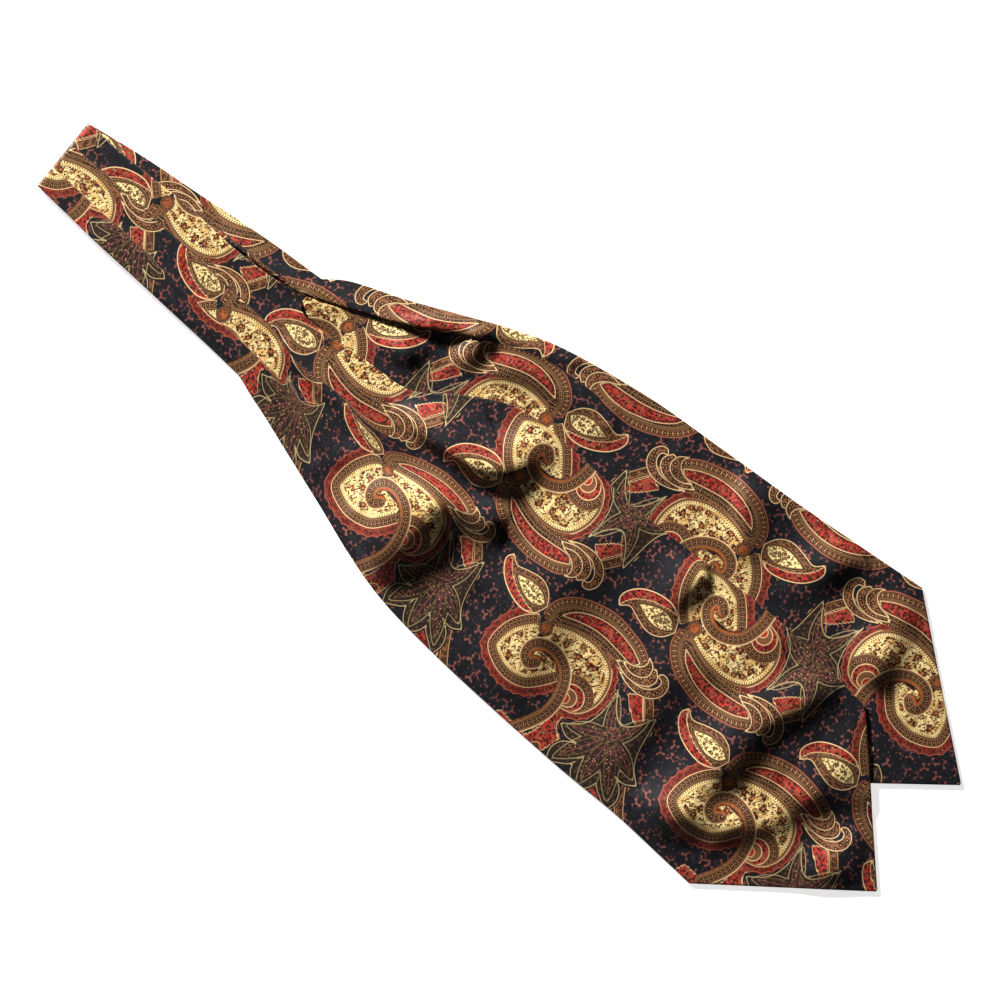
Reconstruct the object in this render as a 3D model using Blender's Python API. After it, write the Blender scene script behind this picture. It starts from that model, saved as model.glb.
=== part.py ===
"""Day cravat of printed silk, folded in half at the middle of its neck band and laid flat.

The neck band is one pleated strip that turns over itself at the left end, so that its front
half lies on its back half.  A pointed, self-lined blade is sewn across each end of it.  The
front blade lies on the back blade, and the two fan apart towards their tips.
X runs from the fold to the tips, Y across the cloth, and Z up from the surface it lies on.
The tables below are in millimetres and the model is in metres.
"""

import math
from collections import namedtuple

import bmesh
import bpy
import numpy as np

MM = 0.001

# Cloth
BLADE_WALL = 1.6  # silk face and silk lining, turned and pressed
BAND_WALL = 2.0  # the band's folded layers between its pleats
PLEAT_STEP = 1.1  # what a pleat's folded edge adds to the band
PLEAT_RUN = 13.0  # how far below its folded edge a pleat thins out
SEAM_BLEND = 28.0  # length over which a blade thins from the band's wall to its own
GAP = 0.3  # between pieces that touch
EDGE_ROUND = 0.5  # how far a turned edge draws in at its two faces
REST_SLACK = 0.25  # a fold lower than this still rests flat underneath
OVERHANG = 6.0  # how far the upper cloth bridges out past the edge of the lower one
DROP_RUN = 14.0  # and the length over which it then comes down to the surface
PLEAT_EDGE = 0.35  # half the width of the steep face at a pleat's folded edge

# Grid sizes, in cells
FRONT_ROW = 8.0  # length of a cell along the front blade
BACK_ROW = 9.0
BAND_ROW = 10.0
FRONT_COLUMNS = (8, 9)  # below and above the pleat line
BACK_COLUMNS = (9, 5)
BAND_COLUMNS = (4, 4, 3)  # in the lower, middle and upper pleat
BEND_STEPS = 6
CURVE_STEPS = 12  # points read along a curve for each of its knots
ROW_STEPS = 40

Station = namedtuple("Station", "lower_x lower_y pleat_x pleat_y upper_x upper_y")
Point = namedtuple("Point", "x y")
Fold = namedtuple("Fold", "x y height steep gentle")

# Neck band, from the fold to the cross seam
FOLD_LOWER = Point(-317.4, -13.7)
FOLD_UPPER = Point(-315.6, 33.5)
SEAM_LOWER = Point(-158.4, -31.0)
SEAM_UPPER = Point(-153.8, 41.0)
BandStation = namedtuple("BandStation", "x lower low_pleat high_pleat upper")
BAND_FRONT = (
    BandStation(-316.5, -13.7, 0.4, 17.3, 33.5),
    BandStation(-296.0, -16.2, -1.6, 15.9, 31.0),
    BandStation(-271.0, -19.3, -4.0, 13.4, 30.3),
    BandStation(-243.0, -22.0, -6.4, 11.0, 29.5),
    BandStation(-210.0, -25.4, -11.4, 8.2, 26.3),
    BandStation(-184.0, -28.0, -12.9, 5.1, 26.0),
    BandStation(-158.0, -31.0, -15.6, 2.4, 27.6),
)
BandEdge = namedtuple("BandEdge", "x lower upper")
BAND_BACK = (
    BandEdge(-316.5, -13.7, 33.5),
    BandEdge(-280.0, -13.9, 37.0),
    BandEdge(-243.6, -14.0, 39.0),
    BandEdge(-196.0, -14.0, 41.8),
    BandEdge(-156.0, -14.0, 42.4),
)

# Blades: lower edge, pleat line and upper edge at stations from the cross seam to the corners
FRONT_STATIONS = (
    Station(-158.4, -31.0, -156.3, 2.2, -155.2, 24.8),
    Station(-146.0, -36.2, -144.0, -2.2, -147.0, 19.2),
    Station(-132.5, -41.0, -130.0, -5.4, -130.0, 18.6),
    Station(-107.0, -51.0, -106.0, -5.0, -101.0, 20.3),
    Station(-77.0, -62.6, -78.0, -11.0, -74.0, 22.0),
    Station(-42.0, -76.5, -50.0, -16.0, -48.0, 38.0),
    Station(-12.0, -85.4, -18.0, -17.0, -16.7, 51.4),
    Station(28.8, -91.8, 24.0, -18.0, 24.0, 50.6),
    Station(76.6, -96.7, 74.0, -22.0, 76.0, 45.4),
    Station(126.0, -100.7, 126.0, -26.0, 128.0, 45.0),
    Station(168.0, -102.6, 172.0, -30.0, 175.0, 43.8),
    Station(200.0, -105.9, 208.0, -33.0, 212.0, 39.0),
    Station(225.8, -108.7, 235.8, -36.0, 245.4, 34.1),
)
FRONT_TIP = Point(315.4, -47.1)
BACK_STATIONS = (
    Station(-157.3, -14.0, -154.6, 29.4, -153.6, 42.6),
    Station(-146.0, -16.0, -144.0, 32.6, -144.0, 49.2),
    Station(-130.0, -18.0, -128.0, 38.6, -132.0, 54.3),
    Station(-106.0, -21.0, -102.0, 48.6, -108.0, 62.2),
    Station(-76.0, -25.0, -74.0, 62.6, -76.0, 74.8),
    Station(-44.0, -28.0, -42.0, 77.0, -46.0, 86.4),
    Station(-14.0, -31.0, -12.0, 84.0, -15.0, 95.0),
    Station(38.0, -33.0, 38.0, 84.0, 38.6, 101.6),
    Station(92.0, -34.0, 90.0, 84.0, 90.0, 103.2),
    Station(144.0, -34.0, 143.0, 84.0, 142.8, 104.4),
    Station(188.0, -33.6, 188.0, 84.0, 188.0, 106.4),
    Station(228.0, -33.0, 229.6, 84.0, 230.4, 108.7),
)
BACK_TIP = Point(317.4, 31.2)

# Ridges of the cloth: points along each crest, its height, and how far it falls on its steep
# side, which lies to the right of the crest's direction, and on its gentle side
FRONT_RIDGES = (
    (Fold(-157, -1, 0.4, 3, 16), Fold(-140, -5, 1.8, 3, 16), Fold(-112, -8, 3.2, 3, 18),
     Fold(-82, -14, 3.0, 5, 20), Fold(-52, -18, 0.4, 8, 20)),
    (Fold(-36, -84, 3.0, 13, 26), Fold(-31, -60, 11.5, 16, 30), Fold(-27, -34, 13.5, 17, 32),
     Fold(-18, -16, 12.0, 16, 24), Fold(0, -4, 9.5, 17, 18), Fold(8, 14, 7.5, 16, 18),
     Fold(8, 32, 4.6, 15, 18), Fold(4, 48, 1.5, 14, 18)),
    (Fold(-64, -16, 2.0, 10, 14), Fold(-52, -4, 7.0, 16, 18), Fold(-54, 8, 4.4, 14, 18),
     Fold(-66, 18, 1.0, 8, 12)),
    (Fold(78, -94, 1.0, 15, 26), Fold(70, -62, 4.5, 18, 28), Fold(62, -26, 5.0, 20, 28),
     Fold(66, 6, 4.0, 16, 24), Fold(76, 38, 1.6, 12, 20)),
    (Fold(120, 0, 0.6, 10, 18), Fold(121, 20, 4.4, 8, 18), Fold(124, 40, 5.0, 7, 16)),
    (Fold(148, -96, 1.0, 14, 20), Fold(148, -60, 4.2, 14, 20), Fold(144, -24, 3.8, 16, 24),
     Fold(166, 12, 3.0, 18, 22), Fold(180, 36, 2.0, 14, 18)),
    (Fold(184, -102, 1.2, 12, 18), Fold(194, -74, 6.0, 13, 20), Fold(199, -40, 7.5, 14, 22),
     Fold(202, -10, 7.5, 13, 20), Fold(212, 12, 6.5, 12, 18), Fold(222, 32, 3.6, 10, 14)),
    (Fold(174, -88, 1.6, 9, 12), Fold(200, -80, 5.0, 11, 12), Fold(226, -66, 6.0, 11, 12),
     Fold(244, -44, 4.4, 11, 12), Fold(252, -24, 1.6, 10, 12)),
    (Fold(246, -40, 1.0, 12, 14), Fold(250, -20, 2.6, 14, 16), Fold(254, 0, 2.6, 14, 14),
     Fold(250, 20, 1.0, 12, 14)),
    (Fold(282, -74, 1.0, 10, 12), Fold(288, -52, 4.0, 12, 14), Fold(288, -34, 3.0, 12, 12)),
)
BACK_RIDGES = (
    (Fold(-154, 28, 0.8, 2, 12), Fold(-130, 36, 2.6, 2, 14), Fold(-104, 46, 5.0, 2, 16),
     Fold(-82, 57, 4.6, 3, 16), Fold(-62, 68, 1.6, 4, 12)),
    (Fold(-146, 46, 0.6, 6, 5), Fold(-118, 57, 2.4, 7, 5), Fold(-92, 68, 3.4, 8, 5),
     Fold(-68, 78, 3.0, 7, 5), Fold(-40, 86, 2.4, 6, 4), Fold(-8, 94, 1.6, 6, 4)),
    (Fold(-96, 24, 1.0, 8, 14), Fold(-90, 36, 4.6, 9, 14), Fold(-84, 46, 1.6, 8, 10)),
    (Fold(-64, 48, 1.0, 8, 6), Fold(-60, 64, 5.0, 9, 7), Fold(-66, 80, 3.0, 8, 6)),
    (Fold(-44, 56, 0.8, 10, 8), Fold(-30, 70, 3.4, 9, 12), Fold(4, 74, 3.0, 9, 12),
     Fold(36, 72, 0.8, 9, 10)),
    (Fold(108, 102, 1.6, 8, 18), Fold(118, 90, 5.0, 8, 20), Fold(130, 72, 3.4, 8, 16),
     Fold(138, 58, 0.8, 8, 12)),
    (Fold(172, 62, 1.0, 12, 14), Fold(180, 84, 5.6, 12, 18), Fold(188, 104, 4.2, 12, 16)),
    (Fold(244, 40, 1.5, 10, 12), Fold(236, 54, 6.0, 12, 16), Fold(232, 78, 3.6, 12, 18),
     Fold(228, 102, 0.8, 10, 14)),
)
MOST_RELIEF = 16.0  # crossing ridges don't pile up past this
RIDGE_END = 0.6  # how much narrower a ridge is past its ends
HIDDEN_MARGIN = 4.0  # the lower cloth is still flat this far out from the upper one
HIDDEN_BLEND = 12.0  # and its folds rise over this length
EDGE_LIFT = 0.35  # share of a fold that is left at a blade's free edge
EDGE_CALM = 11.0  # length over which it dies down to that
FRONT_RISE = 10.0  # length over which the folds rise from the cross seam
BACK_RISE = 14.0

SILK = {
    "front_blade": (0.16, 0.10, 0.07),
    "back_blade": (0.13, 0.09, 0.07),
    "neck_band": (0.20, 0.13, 0.08),
}
SILK_ROUGHNESS = 0.38
SHARP_ANGLE = 50  # degrees past which two faces meet in a crisp edge


def smooth_through(knots, count):
    """Points at even steps of knot number along a smooth curve through every knot."""
    knots = np.asarray(knots, float)
    ahead = np.vstack([knots[1:], 2 * knots[-1:] - knots[-2:-1]])
    behind = np.vstack([2 * knots[:1] - knots[1:2], knots[:-1]])
    slope = (ahead - behind) / 2
    at = np.linspace(0, len(knots) - 1, count)
    low = np.minimum(at.astype(int), len(knots) - 2)
    t = (at - low)[:, None]
    a, b = knots[low], knots[low + 1]
    return (
        (2 * t**3 - 3 * t**2 + 1) * a
        + (t**3 - 2 * t**2 + t) * slope[low]
        + (3 * t**2 - 2 * t**3) * b
        + (t**3 - t**2) * slope[low + 1]
    )


def even_rows(knots, spacing, across):
    """Rows at an even spacing along the mid line, read from the smooth curve through the knots."""
    fine = smooth_through(knots, ROW_STEPS * len(knots))
    middle = (fine[:, :2] + fine[:, across:]) / 2
    walked = np.concatenate([[0], np.cumsum(np.hypot(*np.diff(middle, axis=0).T))])
    rows = max(2, round(walked[-1] / spacing))
    return np.column_stack([
        np.interp(np.linspace(0, walked[-1], rows + 1), walked, column) for column in fine.T
    ])


def ease(t):
    """A smooth step from 0 to 1."""
    t = np.clip(t, 0, 1)
    return t * t * (3 - 2 * t)


def nearest(places, line):
    """Distance from each place to a polyline, its side, and how far along the line that is."""
    start, step = line[:-1], np.diff(line, axis=0)
    length = np.hypot(*step.T)
    away = places[:, None] - start
    share = np.clip((away * step).sum(2) / length**2, 0, 1)
    off = away - share[:, :, None] * step
    distance = np.hypot(off[:, :, 0], off[:, :, 1])
    best = distance.argmin(1)
    rows = np.arange(len(places))
    cross = step[best, 0] * off[rows, best, 1] - step[best, 1] * off[rows, best, 0]
    along = (best + share[rows, best]) / len(step)
    return distance[rows, best], np.sign(cross), along


def inside(places, ring):
    """True for each place within a closed ring of points."""
    x, y = places[:, 0][:, None], places[:, 1][:, None]
    a, b = ring, np.roll(ring, -1, axis=0)
    spans = (a[:, 1] > y) != (b[:, 1] > y)
    rise = np.where(b[:, 1] == a[:, 1], 1e-9, b[:, 1] - a[:, 1])
    cuts = x < a[:, 0] + (y - a[:, 1]) * (b[:, 0] - a[:, 0]) / rise
    return (spans & cuts).sum(1) % 2 == 1


def depth_in(places, ring):
    """How deep each place lies within a ring, negative outside it."""
    distance = nearest(places, np.vstack([ring, ring[:1]]))[0]
    return np.where(inside(places, ring), distance, -distance)


def relief(places, ridges):
    """Height that a set of ridges adds at each place."""
    total = np.zeros(len(places))
    for ridge in ridges:
        knots = smooth_through(ridge, CURVE_STEPS * len(ridge))
        distance, side, along = nearest(places, knots[:, :2])
        height, steep, gentle = (
            np.interp(along, np.linspace(0, 1, len(knots)), knots[:, k]) for k in (2, 3, 4)
        )
        ends = np.where((along <= 0) | (along >= 1), RIDGE_END, 1.0)
        width = np.where(side < 0, steep, gentle) * ends
        total += np.maximum(height, 0) * np.exp(-((distance / width) ** 2))
    return MOST_RELIEF * np.tanh(total / MOST_RELIEF)


def seam_x(y):
    """Where the cross seam lies at a height across the cloth."""
    share = (y - SEAM_LOWER.y) / (SEAM_UPPER.y - SEAM_LOWER.y)
    return SEAM_LOWER.x + share * (SEAM_UPPER.x - SEAM_LOWER.x)


def edge_curve(stations, x, y):
    """A blade's edge, as points on the smooth curve through one pair of a station's columns."""
    fine = smooth_through(stations, CURVE_STEPS * len(stations))
    return fine[:, (x, y)]


def lower_outline():
    """The closed outline of the lower cloth: the back half of the band and the back blade."""
    low = np.array([(s.x, s.lower) for s in BAND_BACK])
    high = np.array([(s.x, s.upper) for s in BAND_BACK])
    return np.vstack([
        low[:-1], edge_curve(BACK_STATIONS, 0, 1), [BACK_TIP],
        edge_curve(BACK_STATIONS, 4, 5)[::-1], high[:-1][::-1],
    ])


LOWER_CLOTH = lower_outline()
FRONT_UPPER_EDGE = np.vstack([edge_curve(FRONT_STATIONS, 4, 5), [FRONT_TIP]])
FRONT_RING = np.vstack([edge_curve(FRONT_STATIONS, 0, 1), FRONT_UPPER_EDGE[::-1]])
BACK_RING = np.vstack([
    edge_curve(BACK_STATIONS, 0, 1), [BACK_TIP], edge_curve(BACK_STATIONS, 4, 5)[::-1]
])


def wall_at(places):
    """A blade's thickness: the band's at the cross seam, and its own past the blend."""
    past = (places[:, 0] - seam_x(places[:, 1])) / SEAM_BLEND
    return BAND_WALL + (BLADE_WALL - BAND_WALL) * np.clip(past, 0, 1)


def calm_edges(places, ring, rise):
    """Share of the folds that is left near a blade's free edge and at its cross seam."""
    free = EDGE_LIFT + (1 - EDGE_LIFT) * ease(depth_in(places, ring) / EDGE_CALM)
    past = places[:, 0] - seam_x(places[:, 1])
    near_seam = np.maximum(free, 1 - past / EDGE_CALM)
    return np.where(past < EDGE_CALM, near_seam, free) * ease(past / rise)


def back_heights(places):
    """Underside and top of the back blade."""
    over = nearest(places, FRONT_UPPER_EDGE)[0]
    shown = np.where(inside(places, FRONT_RING), 0, ease((over - HIDDEN_MARGIN) / HIDDEN_BLEND))
    fold = relief(places, BACK_RIDGES) * shown * calm_edges(places, BACK_RING, BACK_RISE)
    under = np.maximum(fold - REST_SLACK, 0)
    return under, fold + wall_at(places)


def rest_on_lower(places):
    """Height at which the upper cloth rests: on the lower cloth, or down on the surface."""
    past = -depth_in(places, LOWER_CLOTH) - OVERHANG
    return (wall_at(places) + GAP) * (1 - ease(past / DROP_RUN))


def front_heights(places):
    """Underside and top of the front blade."""
    fold = relief(places, FRONT_RIDGES) * calm_edges(places, FRONT_RING, FRONT_RISE)
    rest = rest_on_lower(places)
    return rest + np.maximum(fold - REST_SLACK, 0), rest + fold + wall_at(places)


def pleated_columns(row, cells):
    """Places across one row: even cells up to the pleat's folded edge, and on from its foot."""
    lower, pleat, upper = np.array(row).reshape(3, 2)
    across = (upper - lower) / np.hypot(*(upper - lower))
    below = np.linspace(lower, pleat - across * PLEAT_EDGE, cells[0] + 1)
    above = np.linspace(pleat + across * PLEAT_EDGE, upper, cells[1] + 1)
    return np.vstack([below, above])


def blade_plan(stations, tip, spacing, cells):
    """A blade's rows of places: full rows to its corners, then shorter ones to its tip."""
    knots = even_rows(stations, spacing, 4)
    rows = [pleated_columns(row, cells) for row in knots]
    last = rows[-1]
    tip = np.array(tip)
    count = len(last) - 1
    walked = np.concatenate([[0], np.cumsum(np.hypot(*np.diff(last, axis=0).T))])
    for k in range(1, count):
        ends = [last[0] + (tip - last[0]) * k / count, last[-1] + (tip - last[-1]) * k / count]
        share = np.interp(np.linspace(0, count, count - k + 1), np.arange(count + 1), walked)
        share = share / walked[-1]
        rows.append(ends[0] + (ends[1] - ends[0]) * share[:, None])
    rows.append(tip[None])
    return rows


def start_at_seam(rows):
    """Moves a blade's first row so that it starts half a gap past the cross seam."""
    rows[0][:, 0] = seam_x(rows[0][:, 1]) + GAP / 2
    return rows


def silk_material(name):
    """Plain silk in the colour that a piece shows from a distance."""
    material = bpy.data.materials.new(name + "_silk")
    material.use_nodes = True
    shader = material.node_tree.nodes["Principled BSDF"]
    shader.inputs["Base Color"].default_value = (*SILK[name], 1)
    shader.inputs["Roughness"].default_value = SILK_ROUGHNESS
    shader.inputs["Metallic"].default_value = 0.0
    material.diffuse_color = (*SILK[name], 1)
    return material


def finish_piece(bm, name):
    """Turns a closed bmesh in millimetres into a named object in metres."""
    bmesh.ops.triangulate(bm, faces=bm.faces[:])
    bmesh.ops.recalc_face_normals(bm, faces=bm.faces[:])
    bmesh.ops.scale(bm, vec=(MM, MM, MM), verts=bm.verts[:])
    mesh = bpy.data.meshes.new(name)
    bm.to_mesh(mesh)
    bm.free()
    mesh.shade_smooth()
    mesh.set_sharp_from_angle(angle=math.radians(SHARP_ANGLE))
    mesh.materials.append(silk_material(name))
    piece = bpy.data.objects.new(name, mesh)
    bpy.context.scene.collection.objects.link(piece)
    return piece


def plan_faces(bm, grid):
    """Joins rows of vertices with quads, or with triangles where a row is one vertex shorter."""
    for low, high in zip(grid, grid[1:]):
        if len(low) == len(high):
            for k in range(len(low) - 1):
                bm.faces.new((low[k], high[k], high[k + 1], low[k + 1]))
            continue
        for k in range(len(high)):
            bm.faces.new((low[k], high[k], low[k + 1]))
        for k in range(len(high) - 1):
            bm.faces.new((high[k], high[k + 1], low[k + 1]))


def outward_ways(bm):
    """For each vertex on the plan's edge, the way out of the plan."""
    ways = {}
    for edge in bm.edges:
        if not edge.is_boundary:
            continue
        a, b = (v.co.xy for v in edge.verts)
        middle = edge.link_faces[0].calc_center_median().xy
        way = (b - a).orthogonal().normalized()
        if way.dot(middle - a) > 0:
            way.negate()
        for vert in edge.verts:
            ways[vert] = ways.get(vert, way * 0) + way
    return {vert: way.normalized() for vert, way in ways.items()}


def blade(name, rows, heights):
    """A blade's closed wall, with a turned edge all round, from the rows of its plan."""
    bm = bmesh.new()
    top, under = ([[bm.verts.new((x, y, 0)) for x, y in row] for row in rows] for _ in range(2))
    plan_faces(bm, top)
    plan_faces(bm, under)
    ways = outward_ways(bm)
    pairs = {a: b for row_a, row_b in zip(top, under) for a, b in zip(row_a, row_b)}
    low, high = heights(np.array([v.co.xy for v in pairs]))
    for (a, b), low_z, high_z in zip(pairs.items(), low, high):
        a.co.z, b.co.z = high_z, low_z
    turned = {a: bm.verts.new((a.co + pairs[a].co) / 2) for a in pairs if a in ways}
    rim = [e for e in bm.edges if e.is_boundary and e.verts[0] in turned and e.verts[1] in turned]
    for a, b in [e.verts for e in rim]:
        bm.faces.new((a, b, turned[b], turned[a]))
        bm.faces.new((turned[a], turned[b], pairs[b], pairs[a]))
    for a in turned:
        way = ways[a] * EDGE_ROUND
        for vert in (a, pairs[a]):
            vert.co.x -= way.x
            vert.co.y -= way.y
    return finish_piece(bm, name)


def band_lines(stations, rows):
    """Lines along half of the band, read at even steps from the fold to the cross seam."""
    fine = smooth_through(stations, CURVE_STEPS * len(stations))
    at = np.linspace(fine[0, 0], fine[-1, 0], rows + 1)
    return np.column_stack([np.interp(at, fine[:, 0], line) for line in fine[:, 1:].T])


def pleat_columns(lines):
    """Places across the front half, doubled at each folded edge, and the height of its pleats."""
    across, extra = [], []
    last = len(BAND_COLUMNS) - 1
    for k, (low, high) in enumerate(zip(lines, lines[1:])):
        start = low + (PLEAT_EDGE if k > 0 else 0)
        end = high - (PLEAT_EDGE if k < last else 0)
        for y in np.linspace(start, end, BAND_COLUMNS[k] + 1):
            across.append(y)
            extra.append(PLEAT_STEP * max(0.0, 1 - (end - y) / PLEAT_RUN))
    return np.array(across), np.array(extra)


def fold_x(y):
    """Where the band turns over, at a height across it."""
    share = (y - FOLD_LOWER.y) / (FOLD_UPPER.y - FOLD_LOWER.y)
    return FOLD_LOWER.x + share * (FOLD_UPPER.x - FOLD_LOWER.x)


def along_band(y, start, share):
    """Places a share of the way from the bend to the cross seam."""
    return start + share * (seam_x(y) - GAP / 2 - start)


def band_section(x, y, inner, outer):
    """The inner and outer face of the band across one row of places."""
    return np.column_stack([x, y, inner]), np.column_stack([x, y, outer])


def band_sections():
    """Sections across the band, from one cross seam round the bend to the other."""
    rows = round((SEAM_LOWER.x - FOLD_LOWER.x) / BAND_ROW)
    shares = np.linspace(0, 1, rows + 1)
    pleats = [pleat_columns(lines) for lines in band_lines(BAND_FRONT, rows)]
    across, extra = pleats[0]
    shape = (across - across[0]) / (across[-1] - across[0])
    bend_z = BAND_WALL + GAP / 2
    bend_x = fold_x(across) + bend_z + extra / 2
    sections = []
    for share, (low, high) in zip(shares[::-1], band_lines(BAND_BACK, rows)[::-1]):
        y = low + shape * (high - low)
        x = along_band(y, bend_x, share)
        sections.append(band_section(x, y, np.full_like(x, BAND_WALL), np.zeros_like(x)))
    for k in range(1, BEND_STEPS):
        turn = math.pi * k / BEND_STEPS
        faces = []
        for radius in (np.full_like(extra, GAP / 2), bend_z + extra * k / BEND_STEPS):
            x = bend_x - radius * math.sin(turn)
            faces.append(np.column_stack([x, across, bend_z - radius * math.cos(turn)]))
        sections.append(tuple(faces))
    for share, (y, extra) in zip(shares, pleats):
        x = along_band(y, bend_x, share)
        rest = rest_on_lower(np.column_stack([x, y]))
        sections.append(band_section(x, y, rest, rest + BAND_WALL + extra))
    return sections


def section_ring(inner, outer):
    """One closed ring of places: the outer face, a turned edge, the inner face, a turned edge."""
    edges = [(inner[k] + outer[k]) / 2 for k in (-1, 0)]
    for face in (inner, outer):
        face[0, 1] += EDGE_ROUND
        face[-1, 1] -= EDGE_ROUND
    return [*outer, edges[0], *inner[::-1], edges[1]]


def neck_band():
    """The band: its back half, the bend at the left end, and its pleated front half on top."""
    bm = bmesh.new()
    rings = [[bm.verts.new(p) for p in section_ring(*section)] for section in band_sections()]
    for low, high in zip(rings, rings[1:]):
        for k, vert in enumerate(low):
            bm.faces.new((low[k - 1], vert, high[k], high[k - 1]))
    half = len(rings[0]) // 2 - 1
    for ring in (rings[0], rings[-1]):
        inner = ring[half + 1:-1][::-1]
        bm.faces.new((ring[-1], inner[0], ring[0]))
        bm.faces.new((ring[half], ring[half - 1], inner[-1]))
        for k in range(half - 1):
            bm.faces.new((ring[k], inner[k], inner[k + 1], ring[k + 1]))
    return finish_piece(bm, "neck_band")


def clear_scene():
    """Removes whatever the scene holds."""
    for thing in list(bpy.data.objects):
        bpy.data.objects.remove(thing)


def main():
    clear_scene()
    back_rows = start_at_seam(blade_plan(BACK_STATIONS, BACK_TIP, BACK_ROW, BACK_COLUMNS))
    front_rows = start_at_seam(blade_plan(FRONT_STATIONS, FRONT_TIP, FRONT_ROW, FRONT_COLUMNS))
    blade("back_blade", back_rows, back_heights)
    blade("front_blade", front_rows, front_heights)
    neck_band()


main()
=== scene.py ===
"""Looks of the printed silk day cravat: its satin, its paisley print, and the finer creases.

Lengths in the tables are in millimetres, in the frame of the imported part. The model is in metres.
"""

import math
from collections import namedtuple

import bmesh
import bpy
import numpy as np
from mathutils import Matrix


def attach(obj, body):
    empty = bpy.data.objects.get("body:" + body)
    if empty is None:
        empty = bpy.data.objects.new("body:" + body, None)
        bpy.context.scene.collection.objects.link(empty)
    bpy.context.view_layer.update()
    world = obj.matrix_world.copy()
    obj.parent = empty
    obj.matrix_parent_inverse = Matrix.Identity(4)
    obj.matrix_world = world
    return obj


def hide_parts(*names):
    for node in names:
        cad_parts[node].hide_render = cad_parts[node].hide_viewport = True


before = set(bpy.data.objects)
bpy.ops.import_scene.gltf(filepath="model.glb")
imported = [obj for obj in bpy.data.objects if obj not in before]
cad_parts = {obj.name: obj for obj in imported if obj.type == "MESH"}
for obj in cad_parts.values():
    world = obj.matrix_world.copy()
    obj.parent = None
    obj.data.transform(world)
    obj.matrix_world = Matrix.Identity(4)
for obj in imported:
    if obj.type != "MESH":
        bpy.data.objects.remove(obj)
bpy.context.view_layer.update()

MM = 0.001

# Cloth, as in the part
BLADE_WALL = 1.6
BAND_WALL = 2.0
PLEAT_STEP = 1.1
PLEAT_RUN = 13.0
SEAM_BLEND = 28.0
GAP = 0.3
REST_SLACK = 0.25
OVERHANG = 6.0
DROP_RUN = 14.0
MOST_RELIEF = 16.0
RIDGE_END = 0.6
HIDDEN_MARGIN = 4.0
HIDDEN_BLEND = 12.0
EDGE_LIFT = 0.35
EDGE_CALM = 11.0
FRONT_RISE = 10.0
BACK_RISE = 14.0

# Grids
BLADE_ROWS = 330
FRONT_COLUMNS = (56, 70)  # below and above the pleat line
BACK_COLUMNS = (84, 44)
BAND_ROWS = 132
BAND_COLUMNS = (22, 24, 24)
BEND_STEPS = 12
CURVE_STEPS = 12
EDGE_OFFSETS = (0.0, 0.08, 0.3, 0.7)  # from a turned edge
EDGE_RADIUS = 0.8
SHARP_ANGLE = 60  # degrees past which two faces meet in a crisp edge
SEAM_LAP = 0.04  # how far each wall runs past the cross seam
PLEAT_FADE = 42.0  # length over which the band's pleats die down in the blade
PLEAT_EDGE = 0.3  # half the gap between the grid's lines at a pleat's folded edge
LIP_START = 0.4  # share of a pleat's step at its very edge, before its lip rounds up
RUN_OUT = 22.0  # length before the cross seam over which the band's upper edge thins
RUN_OUT_FROM = 20.0  # how far across the band that starts
RUN_OUT_RISE = 5.0
RUN_OUT_SHARE = 0.8
# The dark crack along the upper pleat: how high the outer cloth stands beside it, along x
CRACK_HEIGHTS = ((-222, 0.0), (-205, 2.0), (-158, 2.4), (-140, 1.7), (-120, 2.0), (-104, 3.4),
                 (-88, 5.4), (-72, 3.6), (-56, 0.0))
CRACK_START = 0.2
CRACK_FALL = 1.1
CRACK_TOP = 2.0
CRACK_RUN = 11.0
SEAM_FILL = 2.0  # how far the back blade stands up beside the front one at the cross seam
SEAM_FILL_RUN = 30.0
FILL_RISE = 1.2
FILL_SHORT = 1.0  # how far before the crack it starts to fall
FILL_FALL = 1.5
BAND_SAMPLES = 600
BLADE_SAMPLES = 40  # for each station
TIP_GROWTH = 2.0  # how late the rows start to bend to the point's shape
CHUNK = 6000  # places that are measured at once

Point = namedtuple("Point", "x y")
Station = namedtuple("Station", "lower_x lower_y pleat_x pleat_y upper_x upper_y")
Fold = namedtuple("Fold", "x y height steep gentle")
BandStation = namedtuple("BandStation", "x lower low_pleat high_pleat upper")
BandEdge = namedtuple("BandEdge", "x lower upper")

FOLD_LOWER = Point(-317.4, -13.7)
FOLD_UPPER = Point(-315.6, 33.5)
SEAM_LOWER = Point(-158.4, -31.0)
SEAM_UPPER = Point(-153.8, 41.0)
BAND_FRONT = (
    BandStation(-316.5, -13.7, 0.4, 17.3, 33.5),
    BandStation(-296.0, -16.2, -1.6, 15.9, 31.0),
    BandStation(-271.0, -19.3, -4.0, 13.4, 30.3),
    BandStation(-243.0, -22.0, -6.4, 11.0, 29.5),
    BandStation(-210.0, -25.4, -11.4, 8.2, 26.3),
    BandStation(-184.0, -28.0, -12.9, 5.1, 26.0),
    BandStation(-158.0, -31.0, -15.6, 2.4, 27.6),
)
BAND_BACK = (
    BandEdge(-316.5, -13.7, 33.5),
    BandEdge(-280.0, -13.9, 37.0),
    BandEdge(-243.6, -14.0, 39.0),
    BandEdge(-196.0, -14.0, 41.8),
    BandEdge(-156.0, -14.0, 42.4),
)
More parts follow.
